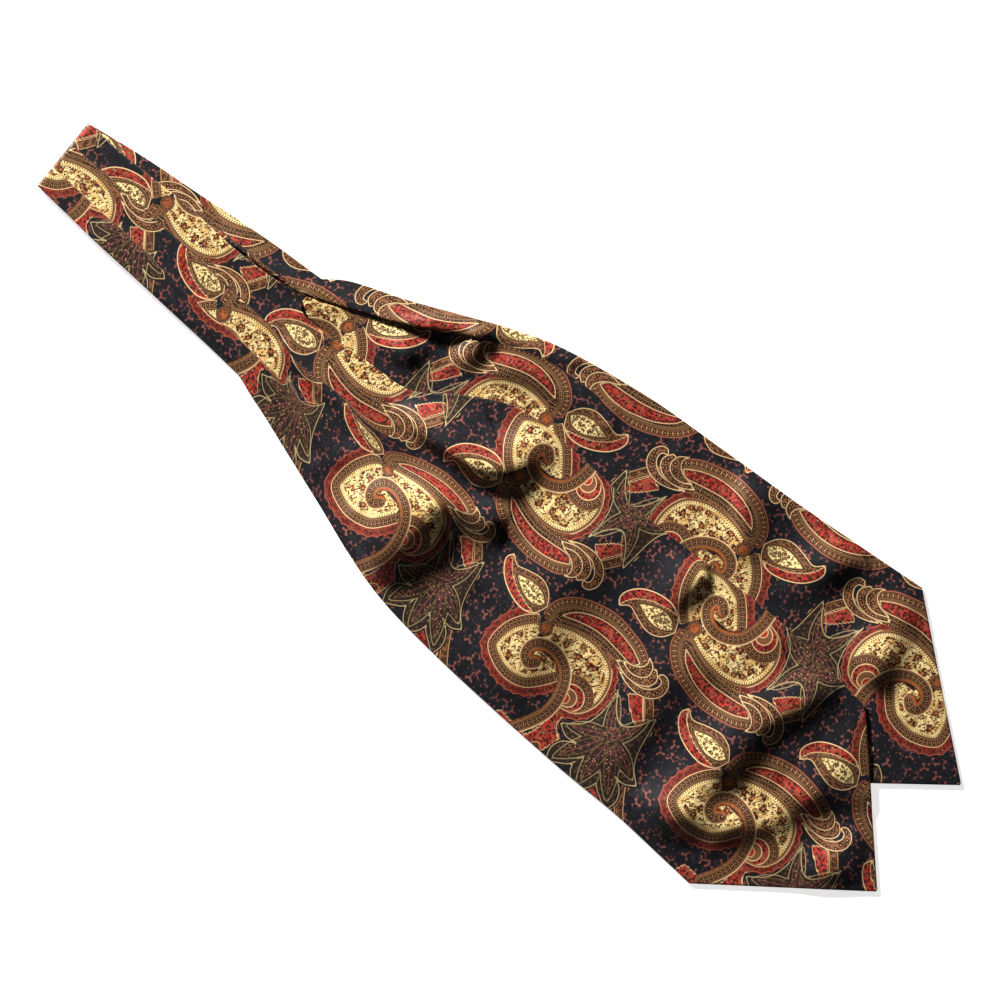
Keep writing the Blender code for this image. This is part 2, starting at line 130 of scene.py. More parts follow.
FRONT_STATIONS = (
    Station(-158.4, -31.0, -156.3, 2.2, -155.2, 24.8),
    Station(-146.0, -36.2, -144.0, -2.2, -147.0, 19.2),
    Station(-132.5, -41.0, -130.0, -5.4, -130.0, 18.6),
    Station(-107.0, -51.0, -106.0, -5.0, -101.0, 20.3),
    Station(-77.0, -62.6, -78.0, -11.0, -74.0, 22.0),
    Station(-42.0, -76.5, -50.0, -16.0, -48.0, 38.0),
    Station(-12.0, -85.4, -18.0, -17.0, -16.7, 51.4),
    Station(28.8, -91.8, 24.0, -18.0, 24.0, 50.6),
    Station(76.6, -96.7, 74.0, -22.0, 76.0, 45.4),
    Station(126.0, -100.7, 126.0, -26.0, 128.0, 45.0),
    Station(168.0, -102.6, 172.0, -30.0, 175.0, 43.8),
    Station(200.0, -105.9, 208.0, -33.0, 212.0, 39.0),
    Station(225.8, -108.7, 235.8, -36.0, 245.4, 34.1),
)
FRONT_TIP = Point(315.4, -47.1)
BACK_STATIONS = (
    Station(-157.3, -14.0, -154.6, 29.4, -153.6, 42.6),
    Station(-146.0, -16.0, -144.0, 32.6, -144.0, 49.2),
    Station(-130.0, -18.0, -128.0, 38.6, -132.0, 54.3),
    Station(-106.0, -21.0, -102.0, 48.6, -108.0, 62.2),
    Station(-76.0, -25.0, -74.0, 62.6, -76.0, 74.8),
    Station(-44.0, -28.0, -42.0, 77.0, -46.0, 86.4),
    Station(-14.0, -31.0, -12.0, 84.0, -15.0, 95.0),
    Station(38.0, -33.0, 38.0, 84.0, 38.6, 101.6),
    Station(92.0, -34.0, 90.0, 84.0, 90.0, 103.2),
    Station(144.0, -34.0, 143.0, 84.0, 142.8, 104.4),
    Station(188.0, -33.6, 188.0, 84.0, 188.0, 106.4),
    Station(228.0, -33.0, 229.6, 84.0, 230.4, 108.7),
)
BACK_TIP = Point(317.4, 31.2)

# Large folds, as in the part but for a sharper lip above the hollow: points along each crest, its
# height, and how far it falls on its steep side, to the right of its direction, and its gentle one
FRONT_RIDGES = (
    (Fold(-157, -1, 0.4, 3, 16), Fold(-140, -5, 1.8, 3, 16), Fold(-112, -8, 3.2, 3, 18),
     Fold(-82, -14, 3.0, 5, 20), Fold(-52, -18, 0.4, 8, 20)),
    (Fold(-36, -84, 3.0, 13, 26), Fold(-31, -60, 11.5, 16, 30), Fold(-27, -34, 13.5, 17, 28),
     Fold(-22, -21, 12.0, 15, 12), Fold(-8, -15, 8.5, 13, 7), Fold(8, -10, 7.0, 12, 8),
     Fold(18, -7, 1.5, 12, 8)),
    (Fold(-74, 13, 1.5, 6, 12), Fold(-58, 9, 6.5, 6, 15), Fold(-38, 8, 10.0, 5, 17),
     Fold(-17, 10, 10.5, 6, 18), Fold(-3, 20, 9.0, 11, 18), Fold(0, 36, 5.0, 13, 16),
     Fold(-4, 50, 1.5, 12, 14)),
    (Fold(78, -94, 1.0, 15, 26), Fold(70, -62, 4.5, 18, 28), Fold(62, -26, 5.0, 20, 28),
     Fold(66, 6, 4.0, 16, 24), Fold(76, 38, 1.6, 12, 20)),
    (Fold(120, 0, 0.6, 10, 18), Fold(121, 20, 4.4, 8, 18), Fold(124, 40, 5.0, 7, 16)),
    (Fold(148, -96, 1.0, 14, 20), Fold(148, -60, 4.2, 14, 20), Fold(144, -24, 3.8, 16, 24),
     Fold(166, 12, 3.0, 18, 22), Fold(180, 36, 2.0, 14, 18)),
    (Fold(184, -102, 1.2, 12, 18), Fold(194, -74, 6.0, 13, 20), Fold(199, -40, 7.5, 14, 22),
     Fold(202, -10, 7.5, 13, 20), Fold(212, 12, 6.5, 12, 18), Fold(222, 32, 3.6, 10, 14)),
    (Fold(174, -88, 1.6, 9, 12), Fold(200, -80, 5.0, 11, 12), Fold(226, -66, 5.0, 11, 12),
     Fold(244, -44, 3.2, 11, 12), Fold(252, -24, 1.2, 10, 12)),
    (Fold(246, -40, 1.0, 12, 14), Fold(250, -20, 2.6, 14, 16), Fold(254, 0, 2.6, 14, 14),
     Fold(250, 20, 1.0, 12, 14)),
    (Fold(282, -74, 1.0, 10, 12), Fold(288, -52, 4.0, 12, 14), Fold(288, -34, 3.0, 12, 12)),
)
BACK_RIDGES = (
    (Fold(-146, 46, 0.6, 6, 5), Fold(-118, 57, 3.0, 7, 5), Fold(-92, 67, 5.0, 7, 5),
     Fold(-68, 77, 6.0, 8, 5), Fold(-40, 85, 4.6, 7, 4), Fold(-8, 93, 2.4, 6, 4)),
    (Fold(-96, 24, 1.0, 8, 14), Fold(-90, 36, 4.6, 9, 14), Fold(-84, 46, 1.6, 8, 10)),
    (Fold(-64, 48, 1.0, 8, 6), Fold(-60, 64, 5.0, 9, 7), Fold(-66, 80, 3.0, 8, 6)),
    (Fold(-44, 56, 0.8, 10, 8), Fold(-30, 70, 3.4, 9, 12), Fold(4, 74, 3.0, 9, 12),
     Fold(36, 72, 0.8, 9, 10)),
    (Fold(108, 102, 1.6, 8, 18), Fold(118, 90, 5.0, 8, 20), Fold(130, 72, 3.4, 8, 16),
     Fold(138, 58, 0.8, 8, 12)),
    (Fold(172, 62, 1.0, 12, 14), Fold(180, 84, 5.6, 12, 18), Fold(188, 104, 4.2, 12, 16)),
    (Fold(244, 40, 1.5, 10, 12), Fold(236, 54, 6.0, 12, 16), Fold(232, 78, 3.6, 12, 18),
     Fold(228, 102, 0.8, 10, 14)),
)

# Finer creases, laid over the large folds
FRONT_CREASES = (
    (Fold(-128, -34, 0.2, 3, 6), Fold(-104, -36, 0.7, 3, 7), Fold(-76, -44, 0.2, 3, 6)),
    (Fold(-96, -58, 0.2, 4, 7), Fold(-84, -36, 0.9, 4, 8), Fold(-74, -18, 0.2, 4, 6)),
    (Fold(-62, -70, 0.2, 4, 7), Fold(-56, -46, 0.8, 4, 7), Fold(-52, -26, 0.2, 4, 6)),
    (Fold(14, -86, 0.2, 4, 8), Fold(20, -56, 0.8, 5, 9), Fold(16, -26, 0.2, 4, 8)),
    (Fold(30, 12, 0.2, 4, 6), Fold(44, 22, 0.9, 4, 7), Fold(54, 40, 0.3, 4, 6)),
    (Fold(96, -84, 0.2, 4, 7), Fold(104, -58, 0.7, 5, 8), Fold(104, -30, 0.2, 4, 7)),
    (Fold(150, 6, 0.2, 4, 6), Fold(146, 24, 0.8, 4, 6), Fold(150, 40, 0.4, 4, 5)),
    (Fold(222, -96, 0.3, 4, 7), Fold(226, -60, 0.8, 5, 8), Fold(226, -20, 0.8, 5, 8),
     Fold(232, 20, 0.3, 4, 6)),
    (Fold(276, -62, 0.2, 4, 7), Fold(284, -44, 0.6, 4, 7), Fold(284, -26, 0.2, 4, 6)),
)
BACK_CREASES = (
    (Fold(-100, 52, 0.2, 2, 4), Fold(-84, 66, 0.6, 2, 4), Fold(-70, 74, 0.2, 2, 4)),
    (Fold(20, 58, 0.2, 4, 6), Fold(28, 74, 0.6, 4, 6), Fold(24, 92, 0.3, 4, 6)),
    (Fold(68, 54, 0.2, 4, 6), Fold(74, 74, 0.6, 4, 7), Fold(70, 96, 0.3, 4, 6)),
    (Fold(198, 52, 0.2, 4, 6), Fold(204, 72, 0.7, 4, 7), Fold(206, 96, 0.3, 4, 6)),
    (Fold(262, 36, 0.2, 4, 6), Fold(268, 52, 0.6, 4, 6), Fold(262, 74, 0.2, 4, 6)),
)


def smooth_through(knots, count):
    """Points at even steps of knot number along a smooth curve through every knot."""
    knots = np.asarray(knots, float)
    ahead = np.vstack([knots[1:], 2 * knots[-1:] - knots[-2:-1]])
    behind = np.vstack([2 * knots[:1] - knots[1:2], knots[:-1]])
    slope = (ahead - behind) / 2
    at = np.linspace(0, len(knots) - 1, count)
    low = np.minimum(at.astype(int), len(knots) - 2)
    t = (at - low)[:, None]
    a, b = knots[low], knots[low + 1]
    return (
        (2 * t**3 - 3 * t**2 + 1) * a
        + (t**3 - 2 * t**2 + t) * slope[low]
        + (3 * t**2 - 2 * t**3) * b
        + (t**3 - t**2) * slope[low + 1]
    )


def curve(points, steps=8):
    """A smooth open curve through a few points."""
    return smooth_through(points, steps * (len(points) - 1) + 1)


def ring_of(*arcs):
    """A closed ring of smooth arcs that meet at corners."""
    return np.vstack([curve(arc)[:-1] for arc in arcs])


def ease(t):
    """A smooth step from 0 to 1."""
    t = np.clip(t, 0, 1)
    return t * t * (3 - 2 * t)


def nearest(places, line):
    """Distance from each place to a polyline, its side, and the length along it to there."""
    start, step = line[:-1], np.diff(line, axis=0)
    length = np.hypot(*step.T)
    before = np.concatenate([[0], np.cumsum(length)[:-1]])
    results = []
    for first in range(0, len(places), CHUNK):
        some = places[first:first + CHUNK]
        away_x = some[:, :1] - start[:, 0]
        away_y = some[:, 1:] - start[:, 1]
        share = np.clip((away_x * step[:, 0] + away_y * step[:, 1]) / length**2, 0, 1)
        squared = (away_x - share * step[:, 0]) ** 2 + (away_y - share * step[:, 1]) ** 2
        best = squared.argmin(1)
        rows = np.arange(len(some))
        cross = step[best, 0] * away_y[rows, best] - step[best, 1] * away_x[rows, best]
        results.append(np.array([
            np.sqrt(squared[rows, best]), np.sign(cross),
            before[best] + share[rows, best] * length[best],
        ]))
    return np.hstack(results)


def inside(places, ring):
    """True for each place within a closed ring of points."""
    count = np.zeros(len(places), int)
    for a, b in zip(ring, np.roll(ring, -1, axis=0)):
        if a[1] == b[1]:
            continue
        spans = (a[1] > places[:, 1]) != (b[1] > places[:, 1])
        cut = a[0] + (places[:, 1] - a[1]) * (b[0] - a[0]) / (b[1] - a[1])
        count += spans & (places[:, 0] < cut)
    return count % 2 == 1


def depth_in(places, ring):
    """How deep each place lies within a ring, negative outside it."""
    distance = nearest(places, np.vstack([ring, ring[:1]]))[0]
    return np.where(inside(places, ring), distance, -distance)


def relief(places, ridges):
    """Height that a set of ridges adds at each place."""
    total = np.zeros(len(places))
    for ridge in ridges:
        knots = smooth_through(ridge, CURVE_STEPS * len(ridge))
        line = knots[:, :2]
        distance, side, along = nearest(places, line)
        walked = np.concatenate([[0], np.cumsum(np.hypot(*np.diff(line, axis=0).T))])
        height, steep, gentle = (np.interp(along, walked, knots[:, k]) for k in (2, 3, 4))
        ends = np.where((along <= 0) | (along >= walked[-1]), RIDGE_END, 1.0)
        width = np.where(side < 0, steep, gentle) * ends
        total += np.maximum(height, 0) * np.exp(-((distance / width) ** 2))
    return MOST_RELIEF * np.tanh(total / MOST_RELIEF)


def seam_x(y):
    """Where the cross seam lies at a height across the cloth."""
    share = (y - SEAM_LOWER.y) / (SEAM_UPPER.y - SEAM_LOWER.y)
    return SEAM_LOWER.x + share * (SEAM_UPPER.x - SEAM_LOWER.x)


def edge_curve(stations, x, y):
    """A blade's edge, as points on the smooth curve through one pair of a station's columns."""
    fine = smooth_through(stations, CURVE_STEPS * len(stations))
    return fine[:, (x, y)]


def lower_outline():
    """The closed outline of the lower cloth: the back half of the band and the back blade."""
    low = np.array([(s.x, s.lower) for s in BAND_BACK])
    high = np.array([(s.x, s.upper) for s in BAND_BACK])
    return np.vstack([
        low[:-1], edge_curve(BACK_STATIONS, 0, 1), [BACK_TIP],
        edge_curve(BACK_STATIONS, 4, 5)[::-1], high[:-1][::-1],
    ])


LOWER_CLOTH = lower_outline()
FRONT_UPPER_EDGE = np.vstack([edge_curve(FRONT_STATIONS, 4, 5), [FRONT_TIP]])
FRONT_RING = np.vstack([edge_curve(FRONT_STATIONS, 0, 1), FRONT_UPPER_EDGE[::-1]])
BACK_RING = np.vstack([
    edge_curve(BACK_STATIONS, 0, 1), [BACK_TIP], edge_curve(BACK_STATIONS, 4, 5)[::-1]
])


def wall_at(places):
    """A blade's thickness: the band's at the cross seam, and its own past the blend."""
    past = (places[:, 0] - seam_x(places[:, 1])) / SEAM_BLEND
    return BAND_WALL + (BLADE_WALL - BAND_WALL) * np.clip(past, 0, 1)


def calm_edges(places, ring, rise):
    """Share of the folds that is left near a blade's free edge and at its cross seam."""
    free = EDGE_LIFT + (1 - EDGE_LIFT) * ease(depth_in(places, ring) / EDGE_CALM)
    past = places[:, 0] - seam_x(places[:, 1])
    near_seam = np.maximum(free, 1 - past / EDGE_CALM)
    return np.where(past < EDGE_CALM, near_seam, free) * ease(past / rise)


def crack_line(x):
    """Where the outer cloth falls away to the front half, or into the back blade's pleat."""
    band = np.array(BAND_FRONT)
    line = edge_curve(BACK_STATIONS, 2, 3)
    return np.interp(x, np.concatenate([band[:, 0], line[:, 0]]),
                     np.concatenate([band[:, 4], line[:, 1]]))


def crack_lift(places):
    """How far the outer cloth stands up along the crack."""
    x, y = places.T
    up = y - crack_line(x)
    height = np.interp(x, *zip(*CRACK_HEIGHTS))
    return height * ease((up - CRACK_START) / CRACK_FALL) * (1 - ease((up - CRACK_TOP) / CRACK_RUN))


def seam_fill(places, bare):
    """How far the back blade stands up beside the front one at the seam, up to the crack."""
    x, y = places.T
    past = (x - seam_x(y)) / SEAM_FILL_RUN
    below_crack = 1 - ease((y - crack_line(x) + FILL_SHORT) / FILL_FALL)
    return SEAM_FILL * (1 - ease(past)) * bare * below_crack


def back_heights(places):
    """Underside and top of the back blade."""
    over = np.where(inside(places, FRONT_RING), 0, nearest(places, FRONT_UPPER_EDGE)[0])
    shown = ease((over - HIDDEN_MARGIN) / HIDDEN_BLEND)
    calm = shown * calm_edges(places, BACK_RING, BACK_RISE)
    fold = relief(places, BACK_RIDGES + BACK_CREASES) * calm
    lift = crack_lift(places) + seam_fill(places, ease((over - GAP) / FILL_RISE))
    return np.maximum(fold - REST_SLACK, 0), fold + lift + wall_at(places)


def rest_on_lower(places):
    """Height at which the upper cloth rests: on the lower cloth, or down on the surface."""
    past = -depth_in(places, LOWER_CLOTH) - OVERHANG
    return (wall_at(places) + GAP) * (1 - ease(past / DROP_RUN))


def pleat_lines(x):
    """Heights of the low and the high pleat's folded edge along the front of the cravat."""
    band = np.array(BAND_FRONT)
    line = edge_curve(FRONT_STATIONS, 2, 3)
    past = np.maximum(x - band[-1, 0], 0)
    low = np.interp(x, band[:, 0], band[:, 2]) + LOW_PLEAT_SLOPE * past
    high = np.interp(x, np.concatenate([band[:, 0], line[:, 0]]),
                     np.concatenate([band[:, 3], line[:, 1]]))
    return low, high


def pleat_lift(places):
    """How far the band's pleats still lift the front blade past the cross seam."""
    x, y = places.T
    upper = edge_curve(FRONT_STATIONS, 4, 5)
    lift = np.zeros(len(places))
    for line in (*pleat_lines(x), np.interp(x, upper[:, 0], upper[:, 1])):
        drop = line - y
        lip = np.sqrt(1 - (1 - np.clip(drop / EDGE_RADIUS, 0, 1)) ** 2)
        rounded = LIP_START + (1 - LIP_START) * lip
        slope = PLEAT_STEP * np.clip(1 - drop / PLEAT_RUN, 0, 1) * rounded
        lift = np.maximum(lift, np.where(drop >= 0, slope, 0))
    return lift * (1 - ease((x - seam_x(y)) / PLEAT_FADE))


def front_heights(places):
    """Underside and top of the front blade."""
    calm = calm_edges(places, FRONT_RING, FRONT_RISE)
    fold = relief(places, FRONT_RIDGES + FRONT_CREASES) * calm
    rest = rest_on_lower(places)
    top = rest + fold + pleat_lift(places) + wall_at(places)
    return rest + np.maximum(fold - REST_SLACK, 0), top


def closed_piece(name, rows, columns, corners):
    """A flat grid, rolled round to the given corners into a shell whose meeting edges still have to
    be merged.
    """
    bm = bmesh.new()
    bmesh.ops.create_grid(bm, x_segments=columns - 1, y_segments=rows - 1, size=1)
    bm.verts.ensure_lookup_table()
    for vert, place in zip(bm.verts, corners.reshape(-1, 3)):
        vert.co = place
    mesh = bpy.data.meshes.new(name)
    bm.to_mesh(mesh)
    bm.free()
    piece = bpy.data.objects.new(name, mesh)
    bpy.context.scene.collection.objects.link(piece)
    return piece


def merge_seams(piece):
    """Merges the places where a rolled grid meets itself, and turns its faces outwards."""
    bm = bmesh.new()
    bm.from_mesh(piece.data)
    bmesh.ops.remove_doubles(bm, verts=bm.verts[:], dist=0.00001)
    bmesh.ops.dissolve_degenerate(bm, edges=bm.edges[:], dist=0.000001)
    bmesh.ops.recalc_face_normals(bm, faces=bm.faces[:])
    bm.to_mesh(piece.data)
    bm.free()
    piece.data.shade_smooth()
    piece.data.set_sharp_from_angle(angle=math.radians(SHARP_ANGLE))


def columns_over(width, below, cells, gap):
    """Shares across a row: close together at its two edges and either side of its pleat line."""
    offsets = np.array(EDGE_OFFSETS) / width
    low = np.linspace(offsets[-1], below - gap / width, cells[0] + 1)
    high = np.linspace(below + gap / width, 1 - offsets[-1], cells[1] + 1)
    return np.concatenate([offsets[:-1], low, high, 1 - offsets[-2::-1]])


def blade_places(stations, tip, cells):
    """Plan of a blade: a grid of places from its cross seam to its two corners and its point."""
    fine = smooth_through(stations, BLADE_SAMPLES * len(stations))
    walked = np.concatenate([[0], np.cumsum(np.hypot(*np.diff(fine[:, 2:4], axis=0).T))])
    offsets = np.array(EDGE_OFFSETS) / walked[-1]
    shares = np.concatenate([
        offsets[:-1], np.linspace(offsets[-1], 1 - offsets[-1], BLADE_ROWS), 1 - offsets[-2::-1]
    ])
    knots = np.column_stack([np.interp(shares * walked[-1], walked, c) for c in fine.T])
    last = knots[-1]
    corners = np.array([last[:2], last[4:]])
    point_share = np.hypot(*(tip - corners[0])) / (
        np.hypot(*(tip - corners[0])) + np.hypot(*(corners[1] - tip))
    )
    rows = []
    for share, row in zip(shares, knots):
        lower, pleat, upper = row.reshape(3, 2)
        width = np.hypot(*(upper - lower))
        below = np.hypot(*(pleat - lower)) / width
        across = columns_over(width, below, cells, PLEAT_EDGE)[:, None]
        bend = np.where(across < below, across / below, (1 - across) / (1 - below))
        middle = pleat - (lower + (upper - lower) * below)
        line = lower + (upper - lower) * across + middle * bend
        if share == 0:
            line[:, 0] = seam_x(line[:, 1]) - SEAM_LAP
        edge = np.where(
            across < point_share,
            corners[0] + (tip - corners[0]) * across / point_share,
            tip + (corners[1] - tip) * (across - point_share) / (1 - point_share),
        )
        flat = corners[0] + (corners[1] - corners[0]) * across
        rows.append(line + (edge - flat) * share**TIP_GROWTH)
    return np.array(rows)


def turned_edge(depth):
    """Share of a wall's half thickness at a distance in from its turned edge."""
    return np.sqrt(1 - (1 - np.clip(depth / EDGE_RADIUS, 0, 1)) ** 2)


def blade(name, stations, tip, cells, heights, fabric):
    """A blade as a closed shell, with its place in the printed fabric."""
    plan = blade_places(stations, np.array(tip), cells)
    rows, across = plan.shape[:2]
    places = plan.reshape(-1, 2)
    free = np.vstack([plan[:, 0], plan[-1, 1:], plan[-2::-1, -1]])
    half = turned_edge(nearest(places, free)[0])
    half[:across] = 0
    under, top = heights(places)
    middle, thick = (top + under) / 2, (top - under) / 2 * half
    faces = [
        np.column_stack([places, middle + side * thick]).reshape(rows, across, 3)
        for side in (1, -1)
    ]
    corners = np.concatenate([faces[0], faces[1][:, -2::-1]], axis=1) * MM
    piece = closed_piece(name, rows, corners.shape[1], corners)
    mesh_print(piece, places, fabric(places), rows, across)
    merge_seams(piece)
    return piece


# Band

def band_lines(stations, rows):
    """Lines along half of the band, read at even steps from the fold to the cross seam."""
    fine = smooth_through(stations, CURVE_STEPS * len(stations))
    at = np.linspace(fine[0, 0], fine[-1, 0], rows + 1)
    return np.column_stack([np.interp(at, fine[:, 0], line) for line in fine[:, 1:].T])


def pleat_columns(lines):
    """Places across the front half, doubled at each folded edge, and the height of its pleats."""
    across, extra = [], []
    last = len(BAND_COLUMNS) - 1
    for k, (low, high) in enumerate(zip(lines, lines[1:])):
        start = low + (PLEAT_EDGE if k > 0 else 0)
        end = high - (PLEAT_EDGE if k < last else 0)
        ys = np.linspace(start, end, BAND_COLUMNS[k] + 1)
        if k == 0:
            ys = np.concatenate([start + np.array(EDGE_OFFSETS[:-1]), ys[1:]])
        if k == last:
            ys = np.concatenate([ys[:-1], end - np.array(EDGE_OFFSETS[-2::-1])])
        for y in ys:
            lip = math.sqrt(1 - (1 - min((end - y) / EDGE_RADIUS, 1)) ** 2)
            across.append(y)
            rounded = LIP_START + (1 - LIP_START) * lip
            extra.append(PLEAT_STEP * max(0.0, 1 - (end - y) / PLEAT_RUN) * rounded)
    return np.array(across), np.array(extra)


def fold_x(y):
    """Where the band turns over, at a height across it."""
    share = (y - FOLD_LOWER.y) / (FOLD_UPPER.y - FOLD_LOWER.y)
    return FOLD_LOWER.x + share * (FOLD_UPPER.x - FOLD_LOWER.x)


def neck_band():
    """The band: its back half, the bend at the left end, and its pleated front half on top."""
    offsets = np.array(EDGE_OFFSETS) / (SEAM_LOWER.x - FOLD_LOWER.x)
    shares = np.concatenate([np.linspace(0, 1 - offsets[-1], BAND_ROWS), 1 - offsets[-2::-1]])
    front_lines = band_lines(BAND_FRONT, BAND_SAMPLES)
    back_lines = band_lines(BAND_BACK, BAND_SAMPLES)

    def lines_at(lines, share):
        return [np.interp(share, np.linspace(0, 1, len(lines)), column) for column in lines.T]

    across, extra = pleat_columns(lines_at(front_lines, 0))
    shape = (across - across[0]) / (across[-1] - across[0])
    bend_z = BAND_WALL + GAP / 2
    bend_x = fold_x(across) + bend_z + extra / 2
    rim = turned_edge(np.minimum(across - across[0], across[-1] - across))
    sections = []

    def add(x, y, inner, outer, end=1.0, inner_x=None):
        half = rim * end
        middle = (inner + outer) / 2
        thick = (outer - inner) / 2 * half
        mid_x = x if inner_x is None else (x + inner_x) / 2
        off_x = 0 if inner_x is None else (x - inner_x) / 2 * half
        sections.append((
            np.column_stack([mid_x + off_x, y, middle + thick]),
            np.column_stack([mid_x - off_x, y, middle - thick]),
        ))

    for share in shares[::-1]:
        low, high = lines_at(back_lines, share)
        y = low + shape * (high - low)
        x = bend_x + share * (seam_x(y) + SEAM_LAP - bend_x)
        lift = crack_lift(np.column_stack([x, y]))
        add(x, y, BAND_WALL + lift, np.zeros_like(y), float(share < 1))
    for k in range(1, BEND_STEPS):
        turn = math.pi * k / BEND_STEPS
        radii = np.full_like(across, GAP / 2), bend_z + extra * k / BEND_STEPS
        x_in, x_out = (bend_x - radius * math.sin(turn) for radius in radii)
        z_in, z_out = (bend_z - radius * math.cos(turn) for radius in radii)
        add(x_out, across, z_in, z_out, inner_x=x_in)
    for share in shares:
        y, extra = pleat_columns(lines_at(front_lines, share))
        x = bend_x + share * (seam_x(y) + SEAM_LAP - bend_x)
        rest = rest_on_lower(np.column_stack([x, y]))
        run_out = ease((x - seam_x(y) + RUN_OUT) / RUN_OUT)
        run_out = run_out * ease((y - RUN_OUT_FROM) / RUN_OUT_RISE) * RUN_OUT_SHARE
        add(x, y, rest, rest + (BAND_WALL + extra) * (1 - run_out), float(share < 1))
    outer = np.array([section[0] for section in sections])
    inner = np.array([section[1] for section in sections])
    corners = np.concatenate([outer, inner[:, -2::-1]], axis=1) * MM
    rows, columns = outer.shape[:2]
    piece = closed_piece("neck_band_cloth", rows, corners.shape[1], corners)
    places = outer.reshape(-1, 3)
    back = np.arange(rows) < len(shares) + BEND_STEPS // 2
    on_back = np.repeat(back, columns)
    cloth = np.where(on_back[:, None], back_fabric(places), front_fabric(places))
    mesh_print(piece, places, cloth, rows, columns)
    merge_seams(piece)
    return piece


# Where the cloth lies in the printed fabric

PITCH = 136.0  # between motifs along the fabric
FACING = 90.0  # from a motif up to the one that faces it
PERIOD = 176.0
Spot = namedtuple("Spot", "x y along")
FRONT_A = (Spot(-450, -4, -544), Spot(-313, -14.5, -408), Spot(-181, -25, -272),
           Spot(-51, -38, -136), Spot(75.5, -58, 0), Spot(214.6, -65, 136), Spot(352, -70, 272))
FRONT_M = (Spot(-372, 46, -476), Spot(-245.5, 40, -340), Spot(-119, 34, -204), Spot(11.5, 37, -68),
           Spot(144.6, 27, 68), Spot(281, 20, 204), Spot(417, 14, 340))
BACK_B = (Spot(-390, -14, 612), Spot(-262, -8, 476), Spot(-130, 12, 340), Spot(-7, 39, 204),
          Spot(129, 47, 68), Spot(265.5, 54, -68), Spot(400, 60, -204))
# How much of the fabric each pleat takes up, along x
LOW_PLEAT_TAKES = ((-330, 22.0), (-313, 22.5), (-181, 32.0), (-158, 29.0), (-119, 15.0),
                   (-78, 0.0))
LOW_PLEAT_SLOPE = -0.15  # of the low pleat's line past the cross seam
CRISP = 0.1  # width of the print's break at a pressed edge, and how wide it grows in a soft one
LOW_PLEAT_SOFT = 24.0
HIGH_PLEAT_SOFT = 30.0
HIGH_PLEAT_SOFTENS = -110.0
SOFTEN_RUN = 70.0
BACK_CRISP = 0.2
BACK_TAKES = ((-330, 26.0), (-190, 24.0), (-64, 11.0), (40, 0.0), (330, 0.0))


def spot_lines(spots, x):
    """Height and place along the fabric at each x, between the named spots."""
    xs, ys, along = np.array(spots).T
    return np.interp(x, xs, ys), np.interp(x, xs, along)


def front_fabric(places):
    """Where each place of the front lies in the fabric."""
    x, y = places[:, 0], places[:, 1]
    y_a, along_a = spot_lines(FRONT_A, x)
    y_m, along_m = spot_lines(FRONT_M, x)
    low, high = pleat_lines(x)
    takes_low = np.interp(x, *zip(*LOW_PLEAT_TAKES))
    takes_high = FACING - (y_m - y_a)
    soft_low = CRISP + LOW_PLEAT_SOFT * ease((x - SEAM_LOWER.x) / SOFTEN_RUN)
    soft_high = CRISP + HIGH_PLEAT_SOFT * ease((x - HIGH_PLEAT_SOFTENS) / SOFTEN_RUN)
    up = y - y_a - takes_low * (1 - ease((y - low) / soft_low + 0.5))
    up = up + takes_high * ease((y - high) / soft_high + 0.5)
    mix = np.clip(up / FACING, 0, 1)
    return np.column_stack([along_a + (along_m - along_a) * mix, up])


def back_fabric(places):
    """Where each place of the back lies in the fabric, which is turned half round there."""
    x, y = places[:, 0], places[:, 1]
    y_b, along = spot_lines(BACK_B, x)
    line = edge_curve(BACK_STATIONS, 2, 3)
    fold = np.interp(x, line[:, 0], line[:, 1])
    taken = np.interp(x, *zip(*BACK_TAKES))
    up = y - y_b + taken * ease((y - fold) / BACK_CRISP + 0.5)
    return np.column_stack([along, FACING - up])


# The print's motif, drawn round the middle of its spiral

BODY_ARC = ((-14, 20), (-21, 13), (-26.5, 4), (-29, -6), (-28, -14), (-20, -19), (-8, -21),
            (5, -17.5), (13, -10), (18.5, -2.5))
BODY_RING = (BODY_ARC, ((18.5, -2.5), (13, 4), (4, 5), (-6, 6), (-7, 12), (-14, 20)))
HEAD_ARC = ((-3, 23), (7, 27), (19, 29), (30, 27.8), (39, 23), (44, 14), (45, 3), (41.5, -6),
            (36, -11), (27, -13.5))
HEAD_RING = (HEAD_ARC, ((27, -13.5), (24, -4), (17, 6), (6, 10), (-4, 13), (-3, 23)))
SPIRAL = ((2, -1.5), (-1.5, -4.5), (-5.5, -2.5), (-6, 3), (-2, 8), (5, 10.2), (13, 8.5),
          (20, 3), (24, -7), (24.5, -18), (21, -28), (15, -38))
SPIRAL_HALF = 3.8
STEMS = (((77, -12), (84, -27), (91, -38), (99, -47)), ((63, 27), (70, 18.5), (76.5, 8.5)))
STEM_HALF = 2.6
SWASH_ARC = ((-12.5, 22), (-11.5, 32), (-4, 41), (8, 47), (23, 50), (39, 48), (47, 45.5), (54, 41))
SWASH_RING = (SWASH_ARC, ((54, 41), (50, 33), (42, 28), (34, 26), (22, 27), (8, 26), (-4, 20),
                          (-12.5, 22)))
RED_RING = (((-3, 28.5), (3, 35.5), (14, 41), (27, 43), (40, 41), (50, 36.5)),
            ((50, 36.5), (45, 33), (35, 34), (22, 35), (10, 33), (-3, 28.5)))
